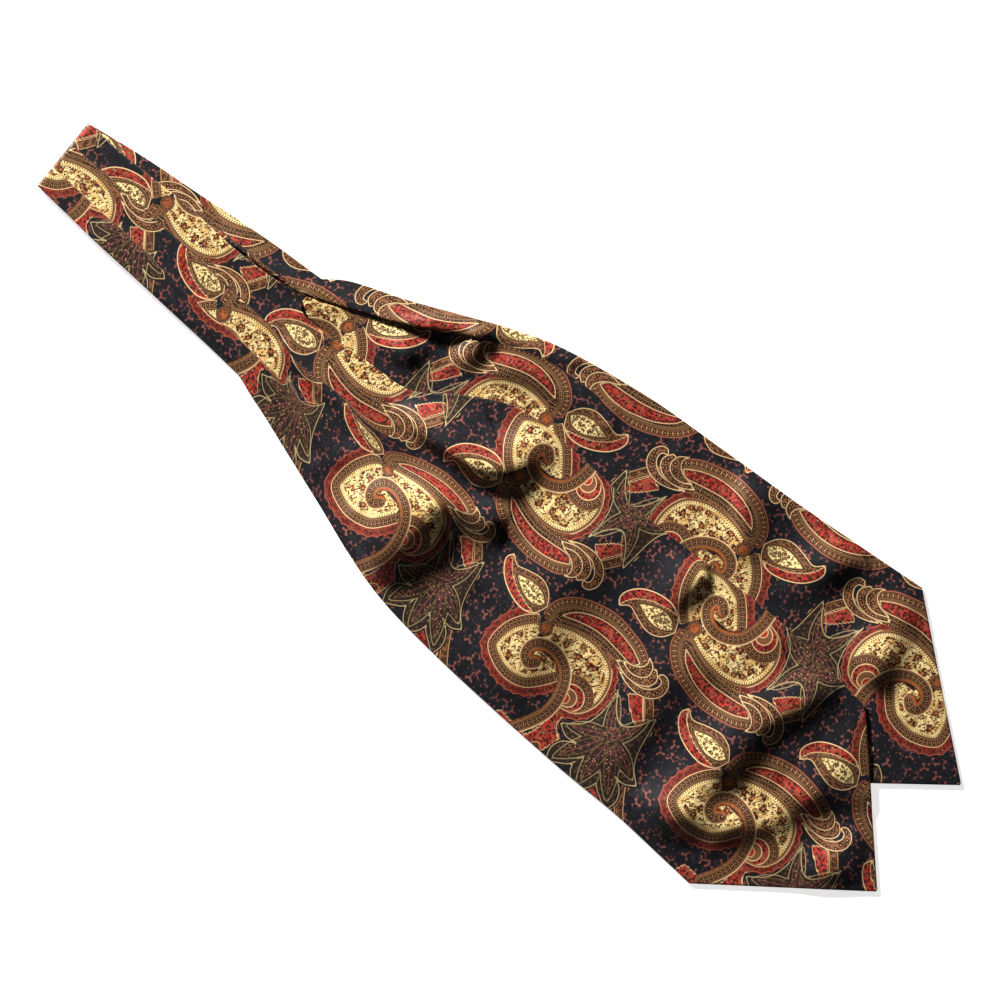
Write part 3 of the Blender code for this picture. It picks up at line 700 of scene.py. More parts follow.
CURLS = (
    (((51, 44), (53, 40.5), (52, 36.8), (48, 33.6), (40, 31.4)),
     ((40, 31.4), (48, 29), (54.5, 30.6), (57.8, 35), (56.5, 40.5), (51, 44))),
    (((37, 29.6), (47, 25.8), (56, 26.4), (61.8, 30.6), (63, 36), (59.5, 40.5)),
     ((59.5, 40.5), (54, 38), (46, 33), (37, 29.6))),
    (((40, 26.6), (49, 22.8), (58, 21.8), (65.5, 24.2), (70.3, 29.5), (71, 35.8), (68, 40.4),
      (64, 41), (61.8, 38)), ((61.8, 38), (65.4, 37.2), (65.8, 33), (62, 28), (54, 25.4),
                              (40, 26.6))),
)
BUD_RING = (((-13, 26), (-18, 33), (-26, 36), (-35, 34), (-43, 31.5), (-48.5, 35.5)),
            ((-48.5, 35.5), (-51, 31), (-49.5, 25.5), (-44, 19.5), (-35, 15.5), (-25, 14.5),
             (-17, 18), (-13, 26)))
BUD_GOLD = (((-15, 26), (-21, 30), (-29, 30.6), (-40, 27)),
            ((-40, 27), (-33, 23), (-26, 20.8), (-19, 22), (-15, 26)))
BUD_RED = (((-48.5, 35.5), (-51, 31), (-49.5, 25.5), (-44, 19.5), (-35, 15.5), (-25, 14.5),
            (-18, 17.5)), ((-18, 17.5), (-26, 18.5), (-35, 21), (-43, 26), (-47, 31),
                           (-48.5, 35.5)))
BALL = (-5.4, 16.6)
FAN = (30.5, -4.5)
FAN_EYE = (1.5, 1.3)  # how far the fan's inner rings lie off its middle
LEAF_RING = (
    ((48, 19), (53.5, 9), (58, 4), (62, 2), (66, 4), (70.5, 9), (76, 19)),
    ((76, 19), (77.5, 8), (79, -3), (82.5, -12), (90, -19.5)),
    ((90, -19.5), (83, -23.5), (75.5, -22.5)), ((75.5, -22.5), (83, -27), (86, -34), (84, -42)),
    ((84, -42), (77, -38), (71.5, -34), (69, -27)),
    ((69, -27), (70.5, -33), (68, -39), (62, -44)),
    ((62, -44), (56, -39), (53.5, -33), (55, -27)),
    ((55, -27), (52.5, -34), (47, -38), (40, -42)),
    ((40, -42), (38, -34), (41, -27), (48.5, -22.5)), ((48.5, -22.5), (41, -23.5), (34, -19.5)),
    ((34, -19.5), (43, -13), (47.5, -6), (49.5, 5), (48, 19)),
)
Vein = namedtuple("Vein", "x y tip_x tip_y half")
LEAF_VEINS = (
    Vein(62, -9, 62, -41, 5.8), Vein(64, -9, 82, -38, 5.4), Vein(60, -9, 42, -38, 5.4),
    Vein(64, -7, 86.5, -18.5, 4.8), Vein(60, -7, 37.5, -18.5, 4.8), Vein(63, -10, 73.5, 15, 4.4),
    Vein(61, -10, 50.5, 15, 4.4), Vein(62, -12, 62, 3, 4.2),
)
WEDGE_RINGS = (
    (((28, -14), (34, -13.5)), ((34, -13.5), (33, -21), (39, -28)),
     ((39, -28), (36, -36), (33, -44)), ((33, -44), (18, -44)), ((18, -44), (25, -32), (28, -14))),
    (((54, 18.5), (62, 23.5)), ((62, 23.5), (69, 14), (76, 5)), ((76, 5), (65, 9), (54, 18.5))),
    (((66, -38), (73, -34)), ((73, -34), (79, -39), (84, -33)), ((84, -33), (90, -48)),
     ((90, -48), (70, -50)), ((70, -50), (66, -38))),
)
MOTIF_BOX = ((-56, 102), (-54, 52))
FAR = -60.0
# What is measured at each place: for each shape, its depth and, if it has one, its length along
SHAPES = ("body", "head", "swash", "red", "curl_0", "curl_1", "curl_2", "bud", "bud_gold",
          "bud_red", "ball", "fan", "leaf", "leaflet", "wedge", "stem", "spiral")


def arc_depth(places, arc, ring):
    """Depth in from one arc of a ring, negative outside the ring, and the length along the arc."""
    distance, _, along = nearest(places, curve(arc))
    return np.where(inside(places, ring_of(*ring)), distance, -distance), along


def stroke(places, line, half):
    """Depth in a stroke, the signed share across it, and the length along it."""
    distance, side, along = nearest(places, curve(line))
    return half - distance, side * distance / half, along


def leaflets(places):
    """Depth in the dark leaf's pointed leaflets, and the way across and along the nearest."""
    found = np.array([np.full(len(places), FAR), np.zeros(len(places)), np.zeros(len(places))])
    for x, y, tip_x, tip_y, half in LEAF_VEINS:
        length = math.hypot(tip_x - x, tip_y - y)
        ahead = np.array([tip_x - x, tip_y - y]) / length
        along = (places - (x, y)) @ ahead
        off = (places - (x, y)) @ (-ahead[1], ahead[0])
        share = np.clip(along / length, 0, 1)
        past = np.maximum(np.maximum(-along, along - length), 0)
        depth = half * np.sin(math.pi * share**0.8) ** 0.75 - np.abs(off) - past
        found = np.where(depth > found[0], np.array([depth, off, along]), found)
    return found


def motif(places):
    """Depth, share across and length along for each shape of the motif, at each place."""
    none = np.zeros(len(places))
    found = {}
    for name, arc, ring in (("body", BODY_ARC, BODY_RING), ("head", HEAD_ARC, HEAD_RING),
                            ("swash", SWASH_ARC, SWASH_RING)):
        depth, along = arc_depth(places, arc, ring)
        found[name] = depth, none, along
    rings = [(f"curl_{k}", ring) for k, ring in enumerate(CURLS)]
    for name, ring in (*rings, ("red", RED_RING), ("bud", BUD_RING),
                       ("bud_gold", BUD_GOLD), ("bud_red", BUD_RED), ("leaf", LEAF_RING)):
        found[name] = depth_in(places, ring_of(*ring)), none, none
    wedges = [depth_in(places, ring_of(*ring)) for ring in WEDGE_RINGS]
    found["wedge"] = np.max(wedges, axis=0), none, none
    found["leaflet"] = leaflets(places)
    for name, (x, y) in (("ball", BALL), ("fan", FAN)):
        off_x, off_y = (places - (x, y)).T
        found[name] = -np.hypot(off_x, off_y), off_x, off_y
    found["spiral"] = stroke(places, SPIRAL, SPIRAL_HALF)
    stems = [stroke(places, line, STEM_HALF)[0] for line in STEMS]
    found["stem"] = np.max(stems, axis=0), none, none
    return found


def print_fields(cloth):
    """The motif's shapes at each place of the fabric, where motifs repeat and face each other."""
    fields = {name: np.zeros((3, len(cloth))) for name in SHAPES}
    for field in fields.values():
        field[0] = FAR
    along, up = cloth.T
    rows = range(math.floor(up.min() / PERIOD) - 1, math.ceil(up.max() / PERIOD) + 2)
    for row in rows:
        for turned in (False, True):
            first = PITCH / 2 if turned else 0.0
            base = row * PERIOD + (FACING if turned else 0.0)
            start = math.floor((along.min() - first) / PITCH) - 1
            stop = math.ceil((along.max() - first) / PITCH) + 2
            for k in range(start, stop):
                local = np.column_stack([along - first - k * PITCH, up - base])
                if turned:
                    local[:, 1] *= -1
                (x0, x1), (y0, y1) = MOTIF_BOX
                x, y = local.T
                near = np.flatnonzero((x > x0) & (x < x1) & (y > y0) & (y < y1))
                if not len(near):
                    continue
                for name, values in motif(local[near]).items():
                    picked = values[0] > fields[name][0, near]
                    for part, value in zip(fields[name], values):
                        part[near[picked]] = value[picked]
    return fields


# Attributes, three values in each
PACKED = (
    ("print_body", (("body", 0), ("body", 2), ("ball", 0))),
    ("print_head", (("head", 0), ("head", 2), ("head", 0))),
    ("print_fan", (("fan", 1), ("fan", 2), ("fan", 0))),
    ("print_swash", (("swash", 0), ("swash", 2), ("red", 0))),
    ("print_curl", (("curl_0", 0), ("curl_1", 0), ("curl_2", 0))),
    ("print_bud", (("bud", 0), ("bud_gold", 0), ("bud_red", 0))),
    ("print_stem", (("stem", 0), ("wedge", 0), ("leaf", 0))),
    ("print_leaflet", (("leaflet", 0), ("leaflet", 1), ("leaflet", 2))),
    ("print_spiral", (("spiral", 1), ("spiral", 2), ("spiral", 0))),
)


def mesh_print(piece, places, cloth, rows, columns):
    """Stores what the print's material reads: the motif's shapes, and the place in the fabric."""
    fields = print_fields(cloth)
    order = np.arange(rows * columns).reshape(rows, columns)
    order = np.concatenate([order, order[:, -2::-1]], axis=1).ravel()
    for name, parts in PACKED:
        values = np.column_stack([fields[shape][k] for shape, k in parts])[order]
        attribute = piece.data.attributes.new(name, "FLOAT_VECTOR", "POINT")
        attribute.data.foreach_set("vector", values.astype(np.float32).ravel())
    fabric = np.column_stack([cloth, np.zeros(len(cloth))])[order]
    attribute = piece.data.attributes.new("print_fabric", "FLOAT_VECTOR", "POINT")
    attribute.data.foreach_set("vector", fabric.astype(np.float32).ravel())


# The print's material

def linear(red, green, blue):
    """A colour given as 0 to 255 on a screen, as the linear values that a material takes."""
    parts = (c / 255 for c in (red, green, blue))
    return tuple(c / 12.92 if c <= 0.04045 else ((c + 0.055) / 1.055) ** 2.4 for c in parts)


INK = {
    "ground": linear(17, 18, 24),
    "haze": linear(34, 36, 46),
    "gold": linear(222, 182, 112),
    "pale_gold": linear(240, 214, 150),
    "cream": linear(234, 202, 150),
    "olive": linear(134, 102, 66),
    "tan": linear(192, 148, 98),
    "brown": linear(126, 82, 54),
    "dark_brown": linear(40, 23, 15),
    "maroon": linear(88, 34, 24),
    "red": linear(174, 50, 40),
    "dark_red": linear(84, 26, 22),
    "rust": linear(150, 78, 36),
    "orange": linear(184, 98, 44),
    "pink": linear(176, 88, 70),
    "sprig": linear(138, 78, 70),
    "leaf": linear(40, 29, 24),
    "leaf_line": linear(186, 164, 120),
    "plum": linear(118, 66, 62),
}


class Wire:
    """A socket in a node tree, with the arithmetic that the print's formulas need."""

    def __init__(self, tree, socket):
        self.tree, self.socket = tree, socket

    def join(self, operation, *others):
        node = self.tree.nodes.new("ShaderNodeMath")
        node.operation = operation
        for slot, value in zip(node.inputs, (self, *others)):
            feed(self.tree, slot, value)
        return Wire(self.tree, node.outputs[0])

    def __add__(self, other):
        return self.join("ADD", other)

    def __sub__(self, other):
        return self.join("SUBTRACT", other)

    def __mul__(self, other):
        return self.join("MULTIPLY", other)

    def most(self, other):
        return self.join("MAXIMUM", other)

    def size(self):
        return self.join("ABSOLUTE")

    def power(self, other):
        return self.join("POWER", other)

    def wave(self, pitch):
        """Distance from the nearest whole multiple of a pitch."""
        return self.join("PINGPONG", pitch / 2)

    def sine(self):
        return self.join("SINE")

    def step(self, low, high):
        """A smooth step from 0 at low to 1 at high."""
        node = self.tree.nodes.new("ShaderNodeMapRange")
        node.interpolation_type = "SMOOTHSTEP"
        feed(self.tree, node.inputs["Value"], self)
        flip = low > high
        node.inputs["From Min"].default_value = min(low, high)
        node.inputs["From Max"].default_value = max(low, high)
        node.inputs["To Min"].default_value = 1.0 if flip else 0.0
        node.inputs["To Max"].default_value = 0.0 if flip else 1.0
        return Wire(self.tree, node.outputs["Result"])

    def over(self, edge, soft=0.22):
        return self.step(edge - soft, edge + soft)

    def under(self, edge, soft=0.22):
        return self.step(edge + soft, edge - soft)

    def between(self, low, high, soft=0.22):
        return self.over(low, soft) * self.under(high, soft)

    def line(self, at, half, soft=0.2):
        """1 within half a width of a value, 0 past it."""
        return (self - at).size().under(half, soft)


def feed(tree, slot, value):
    """Joins a wire to an input, or sets the input's value."""
    if isinstance(value, Wire):
        tree.links.new(value.socket, slot)
    elif isinstance(value, tuple):
        slot.default_value = (*value, 1.0)
    else:
        slot.default_value = value


class Layers:
    """Colours laid one over another."""

    def __init__(self, tree, ground):
        self.tree, self.colour = tree, ground

    def lay(self, colour, share):
        node = self.tree.nodes.new("ShaderNodeMix")
        node.data_type = "RGBA"
        for slot, value in zip((0, 6, 7), (share, self.colour, colour)):
            feed(self.tree, node.inputs[slot], value)
        self.colour = Wire(self.tree, node.outputs[2])


def whole(tree, name):
    """An attribute's vector."""
    node = tree.nodes.new("ShaderNodeAttribute")
    node.attribute_name = name
    return Wire(tree, node.outputs["Vector"])


def split(tree, vector):
    """A vector's three values."""
    parts = tree.nodes.new("ShaderNodeSeparateXYZ")
    feed(tree, parts.inputs[0], vector)
    return [Wire(tree, value) for value in parts.outputs]


def read(tree, name):
    """The three values of a packed attribute."""
    return split(tree, whole(tree, name))


def scaled(tree, vector, factor):
    """A vector times a number."""
    node = tree.nodes.new("ShaderNodeVectorMath")
    node.operation = "SCALE"
    feed(tree, node.inputs[0], vector)
    node.inputs["Scale"].default_value = factor
    return Wire(tree, node.outputs[0])


Cell = namedtuple("Cell", "x y away chance")
FULL_TURN = 6.283


def cells(tree, fabric, pitch, randomness):
    """Scattered cells: the way and distance from the nearest one's middle, and its chances."""
    at = scaled(tree, fabric, 1 / pitch)
    node = tree.nodes.new("ShaderNodeTexVoronoi")
    node.voronoi_dimensions = "2D"
    feed(tree, node.inputs["Vector"], at)
    node.inputs["Scale"].default_value = 1.0
    node.inputs["Randomness"].default_value = randomness
    away = tree.nodes.new("ShaderNodeVectorMath")
    away.operation = "SUBTRACT"
    feed(tree, away.inputs[0], at)
    tree.links.new(node.outputs["Position"], away.inputs[1])
    x, y, _ = split(tree, Wire(tree, away.outputs[0]))
    chance = tree.nodes.new("ShaderNodeSeparateColor")
    tree.links.new(node.outputs["Color"], chance.inputs[0])
    chances = [Wire(tree, value) for value in chance.outputs]
    return Cell(x * pitch, y * pitch, Wire(tree, node.outputs["Distance"]) * pitch, chances)


def noise(tree, fabric, pitch, detail=2.0):
    """Soft cloudy values from 0 to 1."""
    node = tree.nodes.new("ShaderNodeTexNoise")
    node.noise_dimensions = "2D"
    feed(tree, node.inputs["Vector"], scaled(tree, fabric, 1 / pitch))
    node.inputs["Scale"].default_value = 1.0
    node.inputs["Detail"].default_value = detail
    return Wire(tree, node.outputs["Fac"])


def reach(x, y):
    """How far two values lie from nought, taken as the two ways across a plane."""
    return (x.power(2.0) + y.power(2.0)).power(0.5)


def fabric_wave(tree, fabric, pitch):
    """Teeth across the fabric, for a jagged line: from 0 to half the pitch and back."""
    x, y, _ = split(tree, fabric)
    return (x + y * 0.7).wave(pitch)


def print_group():
    """The print's colour at each place of the cloth."""
    tree = bpy.data.node_groups.new("paisley_print", "ShaderNodeTree")
    tree.interface.new_socket("Color", in_out="OUTPUT", socket_type="NodeSocketColor")
    out = tree.nodes.new("NodeGroupOutput")
    body, body_s, ball = read(tree, "print_body")
    head, head_s, _ = read(tree, "print_head")
    fan_x, fan_y, fan = read(tree, "print_fan")
    swash, swash_s, red = read(tree, "print_swash")
    curls = read(tree, "print_curl")
    bud, bud_gold, bud_red = read(tree, "print_bud")
    leaflet, leaf_across, leaf_along = read(tree, "print_leaflet")
    across, spiral_s, spiral = read(tree, "print_spiral")
    stem, wedge, leaf = read(tree, "print_stem")
    fabric = whole(tree, "print_fabric")
    colour = Layers(tree, INK["ground"])

    sprig = cells(tree, fabric, 8.3, 0.75)
    speck = cells(tree, fabric, 2.0, 0.8)
    dot = cells(tree, fabric, 2.9, 0.75)
    rose = cells(tree, fabric, 7.2, 0.7)
    frond = cells(tree, fabric, 3.3, 0.85)
    cloud = noise(tree, fabric, 6.0)
    wisp = noise(tree, fabric, 3.4, 1.0)

    def arms(cell, count):
        """How far round from a star's nearest arm, from 0 to 1, turned by the cell's chance."""
        angle = cell.y.join("ARCTAN2", cell.x) + cell.chance[0] * FULL_TURN
        return (angle * (count / 2)).sine().size()

    def beads(along, depth, pitch, middle):
        """Distance from the middle of the nearest bead in a row."""
        return reach(along.wave(pitch), depth - middle)

    def beaded(along, depth, middle, where, pitch=2.8):
        """A row of dark rings, with light marks between them and thin lines beside it."""
        away = beads(along, depth, pitch, middle)
        between = beads(along + pitch / 2, depth, pitch, middle)
        colour.lay(INK["tan"], between.under(0.62, 0.25) * where)
        colour.lay(INK["dark_brown"], (away - 0.85).size().under(0.42, 0.22) * where)
        colour.lay(INK["tan"], away.under(0.28, 0.15) * where)
        colour.lay(INK["dark_brown"], (depth - middle).size().line(1.75, 0.22) * where)
        colour.lay(INK["olive"], (depth - middle).size().line(2.25, 0.2) * where)

    def ringed(where):
        """Scattered dark rings, each with a light middle."""
        colour.lay(INK["dark_brown"], (dot.away - 0.85).size().under(0.42, 0.2) * where)
        colour.lay(INK["tan"], dot.away.under(0.32, 0.15) * where)

    # ground with its sprigs
    colour.lay(INK["haze"], speck.away.under(0.8, 0.4) * cloud.over(0.5, 0.12) * 0.7)
    fork = arms(sprig, 3) * sprig.away + (wisp - 0.5) * 2.0
    stalk = fork.under(0.44, 0.24) * sprig.away.under(2.9, 0.4)
    buds = (sprig.away - 2.4).size().under(0.5, 0.3) * fork.under(1.0, 0.3)
    colour.lay(INK["sprig"], stalk.most(buds) * (sprig.chance[1] * 0.5 + 0.5))
    stray = speck.away.under(0.4, 0.2) * speck.chance[0].over(0.86, 0.02)
    colour.lay(INK["plum"], stray * 0.8)

    # red with dark specks, for wedges, borders and the swash
    spotted = Layers(tree, INK["red"])
    spotted.lay(INK["dark_red"], speck.away.under(0.85, 0.3) * 0.9)
    spotted.lay(INK["pink"], cloud.over(0.55, 0.06) * 0.35)
    spotted.lay(INK["dark_brown"], dot.away.under(0.78, 0.25) * dot.chance[1].over(0.3, 0.02))
    spotted.lay(INK["brown"], frond.away.under(0.8, 0.25) * frond.chance[1].over(0.45, 0.02))
    spotted.lay(INK["tan"], frond.away.under(0.3, 0.15) * frond.chance[1].over(0.75, 0.02))
    red_cloth = spotted.colour

    toothed = wedge + fabric_wave(tree, fabric, 2.6) * 0.55 - 0.4
    colour.lay(red_cloth, toothed.over(0))
    colour.lay(INK["cream"], toothed.line(0, 0.18) * 0.9)

    # stems
    colour.lay(INK["brown"], stem.over(0))
    colour.lay(INK["dark_brown"], (dot.away - 0.8).size().under(0.42, 0.2) * stem.over(0.9, 0.3))
    colour.lay(INK["dark_brown"], stem.line(0.75, 0.2))
    colour.lay(INK["tan"], stem.line(0.1, 0.2))

    # dark leaf
    colour.lay(INK["ground"], leaf.over(-1.0))
    colour.lay(INK["leaf"], leaf.over(0))
    inner = leaflet.over(2.2)
    flecks = (dot.away - 0.45).size().under(0.24, 0.16)
    colour.lay(INK["olive"], flecks * leaflet.over(0.6) * 0.55)
    colour.lay(INK["olive"], flecks * leaf.over(0.8) * leaflet.under(-0.6) * 0.35)
    colour.lay(INK["leaf"], inner)
    colour.lay(INK["tan"], speck.away.under(0.36, 0.16) * speck.chance[2].over(0.6, 0.02) * inner)
    side_vein = (leaf_along - leaf_across.size() * 1.5).wave(5.0).under(0.3, 0.22)
    colour.lay(INK["plum"], side_vein * inner * leaf_across.size().under(2.0))
    colour.lay(INK["plum"], leaf_across.line(0, 0.26) * inner)
    colour.lay(INK["olive"], leaflet.line(2.1, 0.16) * 0.6)
    colour.lay(INK["leaf_line"], leaflet.line(0, 0.2) * 0.8)
    colour.lay(INK["leaf_line"], leaf.line(0.1, 0.22))

    # red borders outside the two bodies
    def border(depth, along, width, start, stop):
        scallop = (along.wave(5.2) * 0.38).power(2.0) * 1.1
        shape = depth + scallop
        here = along.between(start, stop, 1.5)
        colour.lay(INK["dark_brown"], shape.between(-width - 0.9, 1) * here)
        colour.lay(INK["pink"], shape.between(-width - 0.45, 1) * here)
        colour.lay(red_cloth, shape.between(-width, 1) * here)
        colour.lay(INK["maroon"], shape.between(-width, 1) * here * 0.5)
        marks = shape.line(-width * 0.5, 0.3) * along.wave(2.4).over(0.5)
        colour.lay(INK["dark_brown"], marks * here)

    border(head, head_s, 2.8, 40, 90)
    border(body, body_s, 4.0, 2, 200)

    # swash over the head
    colour.lay(INK["brown"], swash.over(0))
    ringed(swash.over(6.0))
    beaded(swash_s, swash, 2.6, swash.over(0.2), 3.2)
    colour.lay(INK["dark_brown"], swash.line(5.3, 0.2))
    colour.lay(INK["olive"], swash.line(5.8, 0.2))
    colour.lay(INK["pink"], swash.line(0.25, 0.26) * 0.7)
    colour.lay(INK["dark_brown"], swash.line(0.8, 0.14))
    beaded(swash_s, red, -2.4, red.between(-5.2, -0.2) * swash.over(6.2))
    colour.lay(red_cloth, red.over(0))
    colour.lay(INK["dark_brown"], beads(swash_s, red, 2.0, 1.0).under(0.55, 0.25))
    colour.lay(INK["cream"], red.line(0, 0.18))

    # curls at its end, the first over the others
    for curl in reversed(curls):
        colour.lay(INK["dark_brown"], curl.over(-0.5))
        colour.lay(INK["brown"], curl.over(0))
        ringed(curl.over(0.9))
        colour.lay(INK["dark_brown"], curl.line(0.7, 0.16))
        colour.lay(INK["cream"], curl.line(0, 0.2))

    # the two bodies
    def gold(depth, along, first):
        """The gold field inside a body's lines, with its flowers."""
        inner = depth - first
        field = Layers(tree, INK["gold"])
        field.lay(INK["pale_gold"], cloud.over(0.45, 0.1))
        field.lay(INK["dark_brown"], along.wave(1.7).under(0.3, 0.16) * inner.under(1.4, 0.25))
        field.lay(INK["brown"], beads(along + 0.85, inner, 1.7, 2.2).under(0.42, 0.2))
        deep = inner.over(2.6, 0.5)
        field.lay(INK["brown"], (wisp - 0.5).size().under(0.03, 0.02) * deep)
        field.lay(INK["dark_brown"], (cloud - 0.47).size().under(0.012, 0.01) * deep)
        long_way = (frond.x * 0.6 + frond.y * 0.8) * 0.55
        cross_way = (frond.x * 0.8 - frond.y * 0.6) * 1.4
        blade_shape = reach(long_way, cross_way)
        field.lay(INK["dark_brown"], blade_shape.under(0.62, 0.2) * deep)
        field.lay(INK["rust"], blade_shape.under(0.34, 0.15) * deep * 0.8)
        few = dot.chance[0].over(0.35, 0.02)
        field.lay(INK["dark_brown"], dot.away.under(0.55, 0.22) * inner.over(2.0) * few)
        bunch = (rose.away + (wisp - 0.5) * 4.4).under(2.5, 0.22) * rose.chance[1].over(0.25, 0.02)
        bunch = bunch * deep
        field.lay(INK["dark_brown"], bunch)
        field.lay(INK["gold"], (speck.away - 0.5).size().under(0.16, 0.14) * bunch)
        petals = rose.away - arms(rose, 5) * 0.7
        field.lay(INK["maroon"], petals.under(1.2, 0.2) * bunch)
        field.lay(INK["rust"], (rose.away - 0.75).size().under(0.22, 0.15) * bunch)
        field.lay(INK["gold"], rose.away.under(0.3, 0.15) * bunch)
        colour.lay(field.colour, inner.over(0))
        colour.lay(INK["olive"], inner.line(0, 0.2))
        colour.lay(INK["dark_brown"], inner.line(-0.45, 0.18))
        colour.lay(INK["olive"], inner.line(-0.95, 0.2))

    colour.lay(INK["brown"], head.over(0))
    gold(head, head_s, 1.6)
    colour.lay(INK["cream"], head.line(0, 0.16) * head_s.over(44, 1))
    fanned = head.over(1.0)
    eye = reach(fan_x + FAN_EYE[0], fan_y + FAN_EYE[1])
    far_eye = reach(fan_x + 2 * FAN_EYE[0], fan_y + 2 * FAN_EYE[1])
    colour.lay(INK["brown"], fan.over(-13.5) * fanned)
    colour.lay(INK["olive"], fan.line(-13.3, 0.22) * fanned)
    colour.lay(INK["dark_brown"], fan.line(-12.6, 0.18) * fanned)
    round_fan = fan_y.join("ARCTAN2", fan_x) * 10.2
    beaded(round_fan, fan, -10.2, fan.between(-12.2, -8.0) * fanned)
    colour.lay(red_cloth, fan.over(-7.6) * fanned)
    colour.lay(INK["cream"], fan.line(-7.6, 0.22) * fanned)
    colour.lay(INK["brown"], eye.under(5.2) * fanned)
    colour.lay(INK["cream"], eye.line(5.2, 0.26) * fanned)
    colour.lay(INK["red"], far_eye.under(3.0) * fanned)
    colour.lay(INK["cream"], far_eye.line(3.0, 0.22) * fanned)

    colour.lay(INK["brown"], body.over(0))
    beaded(body_s, body, 2.3, body.over(0.3))
    gold(body, body_s, 5.4)
    colour.lay(INK["cream"], body.line(0, 0.18))

    # spiral band and stems
    band = spiral.over(0)
    colour.lay(INK["brown"], band)
    inner_side = across.under(-0.5, 0.08) * band
    colour.lay(INK["rust"], inner_side * (spiral_s.under(44, 12) * 0.9 + 0.1))
    colour.lay(INK["dark_brown"], speck.away.under(0.45, 0.2) * inner_side * 0.7)
    beaded(spiral_s, across * 3.6, 0.5, band)
    colour.lay(INK["orange"], across.line(-0.7, 0.05, 0.06) * band * spiral_s.under(40, 12) * 0.6)
    colour.lay(INK["cream"], across.over(0.92, 0.05) * spiral.over(-0.15))
    colour.lay(INK["dark_brown"], across.under(-0.93, 0.05) * spiral.over(-0.2))

    # ball
    colour.lay(INK["dark_brown"], ball.over(-4.6))
    colour.lay(INK["brown"], ball.over(-4.2))
    colour.lay(INK["dark_brown"], ball.line(-3.3, 0.2))
    colour.lay(INK["rust"], ball.over(-2.8) * 0.8)
    colour.lay(INK["orange"], ball.over(-1.2, 1.2) * 0.7)
    colour.lay(INK["dark_brown"], speck.away.under(0.55, 0.25) * ball.over(-4.0) * 0.7)

    # bud
    colour.lay(INK["brown"], bud.over(0))
    colour.lay(INK["dark_brown"], speck.away.between(0.25, 0.85, 0.2) * bud.over(0.3))
    colour.lay(INK["dark_brown"], bud_gold.line(-0.6, 0.5) * bud.over(0))
    colour.lay(INK["olive"], bud_gold.line(-1.1, 0.2) * bud.over(0))
    jagged = bud_red + fabric_wave(tree, fabric, 2.4) * 0.5 * (bud - bud_red).over(0.3) - 0.2
    colour.lay(red_cloth, jagged.over(0) * bud.over(0))
    colour.lay(INK["cream"], jagged.line(0, 0.16) * bud.over(0))
    field = Layers(tree, INK["pale_gold"])
    field.lay(INK["olive"], (cloud - 0.5).size().under(0.03, 0.02))
    field.lay(INK["dark_brown"], speck.away.under(0.5, 0.22))
    field.lay(INK["dark_brown"], (dot.away - 0.7).size().under(0.26, 0.18) * bud_gold.over(1.4))
    field.lay(INK["rust"], dot.away.under(0.35, 0.15) * bud_gold.over(1.4))
    colour.lay(field.colour, bud_gold.over(0))
    colour.lay(INK["olive"], bud_gold.line(0, 0.25))
    colour.lay(INK["cream"], bud.line(0, 0.2))

    tree.links.new(colour.colour.socket, out.inputs["Color"])
    return tree


SATIN = {"Roughness": 0.5, "Specular IOR Level": 0.3, "Sheen Weight": 0.06, "Sheen Roughness": 0.4}


def silk(name, group):
    """Printed silk satin."""
    material = bpy.data.materials.new(name)
    material.use_nodes = True
    tree = material.node_tree
    shader = tree.nodes["Principled BSDF"]
    pattern = tree.nodes.new("ShaderNodeGroup")
    pattern.node_tree = group
    tree.links.new(pattern.outputs["Color"], shader.inputs["Base Color"])
    for socket, value in SATIN.items():
        shader.inputs[socket].default_value = value
    return material


def dress(piece, node, material):
    """Stands a piece for its node in the part."""
    piece.data.materials.append(material)
    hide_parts(node)
    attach(piece, "root")


Lamp = namedtuple("Lamp", "name place size power colour")
LAMPS = (
    Lamp("key_light", (-3.15, 1.0, 1.2), 0.45, 425, (1.0, 0.96, 0.9)),
    Lamp("fill_light", (0.9, -2.8, 1.5), 1.6, 3, (1.0, 0.97, 0.92)),
)
WORLD_LIGHT = 0.04
FLOOR_SIZE = 8
FLOOR_DROP = 0.0002  # below the cloth
FLOOR_GREY = 0.9
FLOOR_GLOW = 0.72
CAMERA_PLACE = (0.0052, 0.0024, 2.006)
CAMERA_TURN = 37
LENS = 125


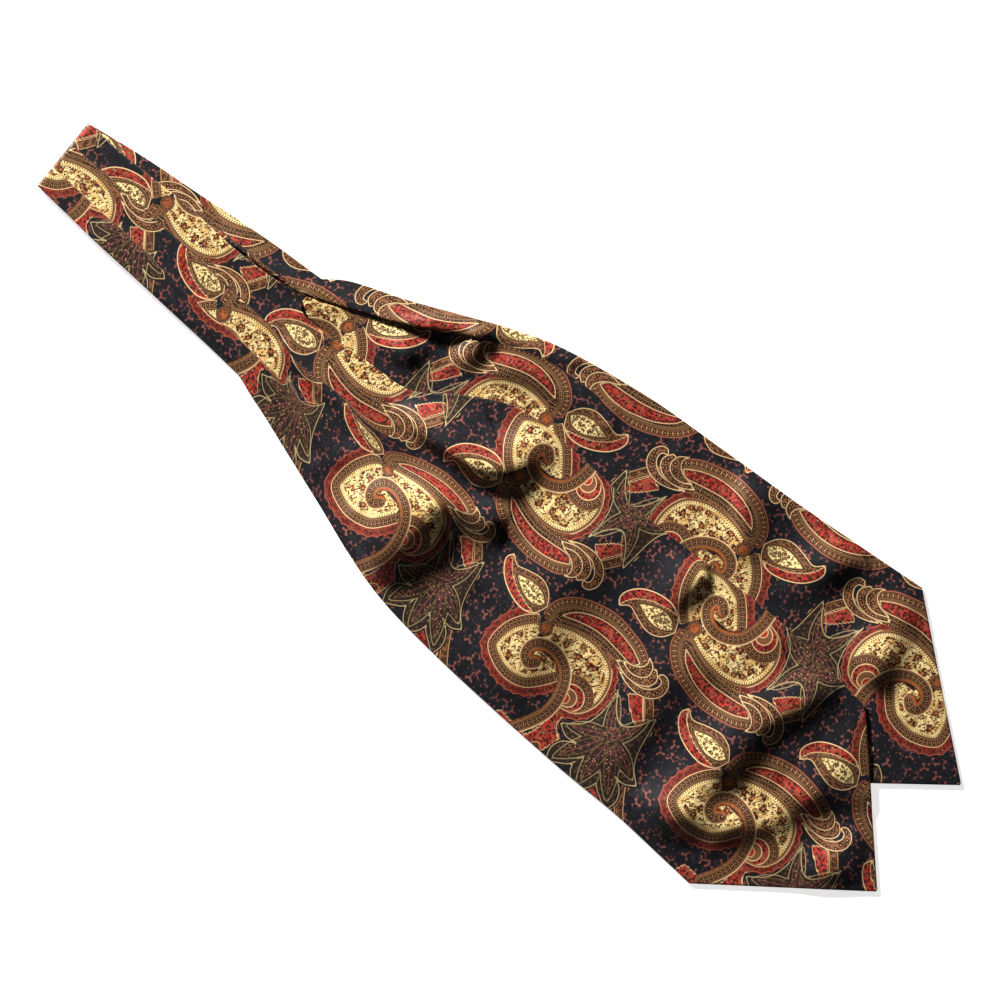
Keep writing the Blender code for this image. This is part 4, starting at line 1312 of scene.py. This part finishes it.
def area_light(name, place, size, power, colour):
    """A square light that points at the cravat."""
    light = bpy.data.lights.new(name, "AREA")
    light.shape = "SQUARE"
    light.size = size
    light.energy = power
    light.color = colour
    lamp = bpy.data.objects.new(name, light)
    bpy.context.scene.collection.objects.link(lamp)
    lamp.location = place
    lamp.rotation_euler = (-lamp.location).to_track_quat("-Z", "Y").to_euler()


def surroundings():
    """Floor, light and the camera."""
    scene = bpy.context.scene
    bpy.ops.mesh.primitive_plane_add(size=FLOOR_SIZE, location=(0, 0, -FLOOR_DROP))
    floor = bpy.context.object
    floor.name = "floor"
    paint = bpy.data.materials.new("pale_floor")
    paint.use_nodes = True
    shader = paint.node_tree.nodes["Principled BSDF"]
    shader.inputs["Base Color"].default_value = (FLOOR_GREY, FLOOR_GREY, FLOOR_GREY, 1)
    shader.inputs["Roughness"].default_value = 0.9
    shader.inputs["Emission Color"].default_value = (1, 1, 1, 1)
    shader.inputs["Emission Strength"].default_value = FLOOR_GLOW
    floor.data.materials.append(paint)
    for lamp in LAMPS:
        area_light(*lamp)
    world = bpy.data.worlds.new("studio")
    world.use_nodes = True
    background = world.node_tree.nodes["Background"]
    background.inputs["Color"].default_value = (1, 1, 1, 1)
    background.inputs["Strength"].default_value = WORLD_LIGHT
    scene.world = world
    lens = bpy.data.cameras.new("camera")
    lens.lens = LENS
    lens.sensor_width = 36
    camera = bpy.data.objects.new("camera", lens)
    scene.collection.objects.link(camera)
    camera.location = CAMERA_PLACE
    camera.rotation_euler = (0, 0, math.radians(CAMERA_TURN))
    scene.camera = camera
    scene.view_settings.view_transform = "Standard"


pattern = print_group()
front = blade("front_blade_cloth", FRONT_STATIONS, FRONT_TIP, FRONT_COLUMNS, front_heights,
              front_fabric)
back = blade("back_blade_cloth", BACK_STATIONS, BACK_TIP, BACK_COLUMNS, back_heights,
             back_fabric)
band = neck_band()
dress(front, "front_blade", silk("front_silk", pattern))
dress(back, "back_blade", silk("back_silk", pattern))
dress(band, "neck_band", silk("band_silk", pattern))
surroundings()
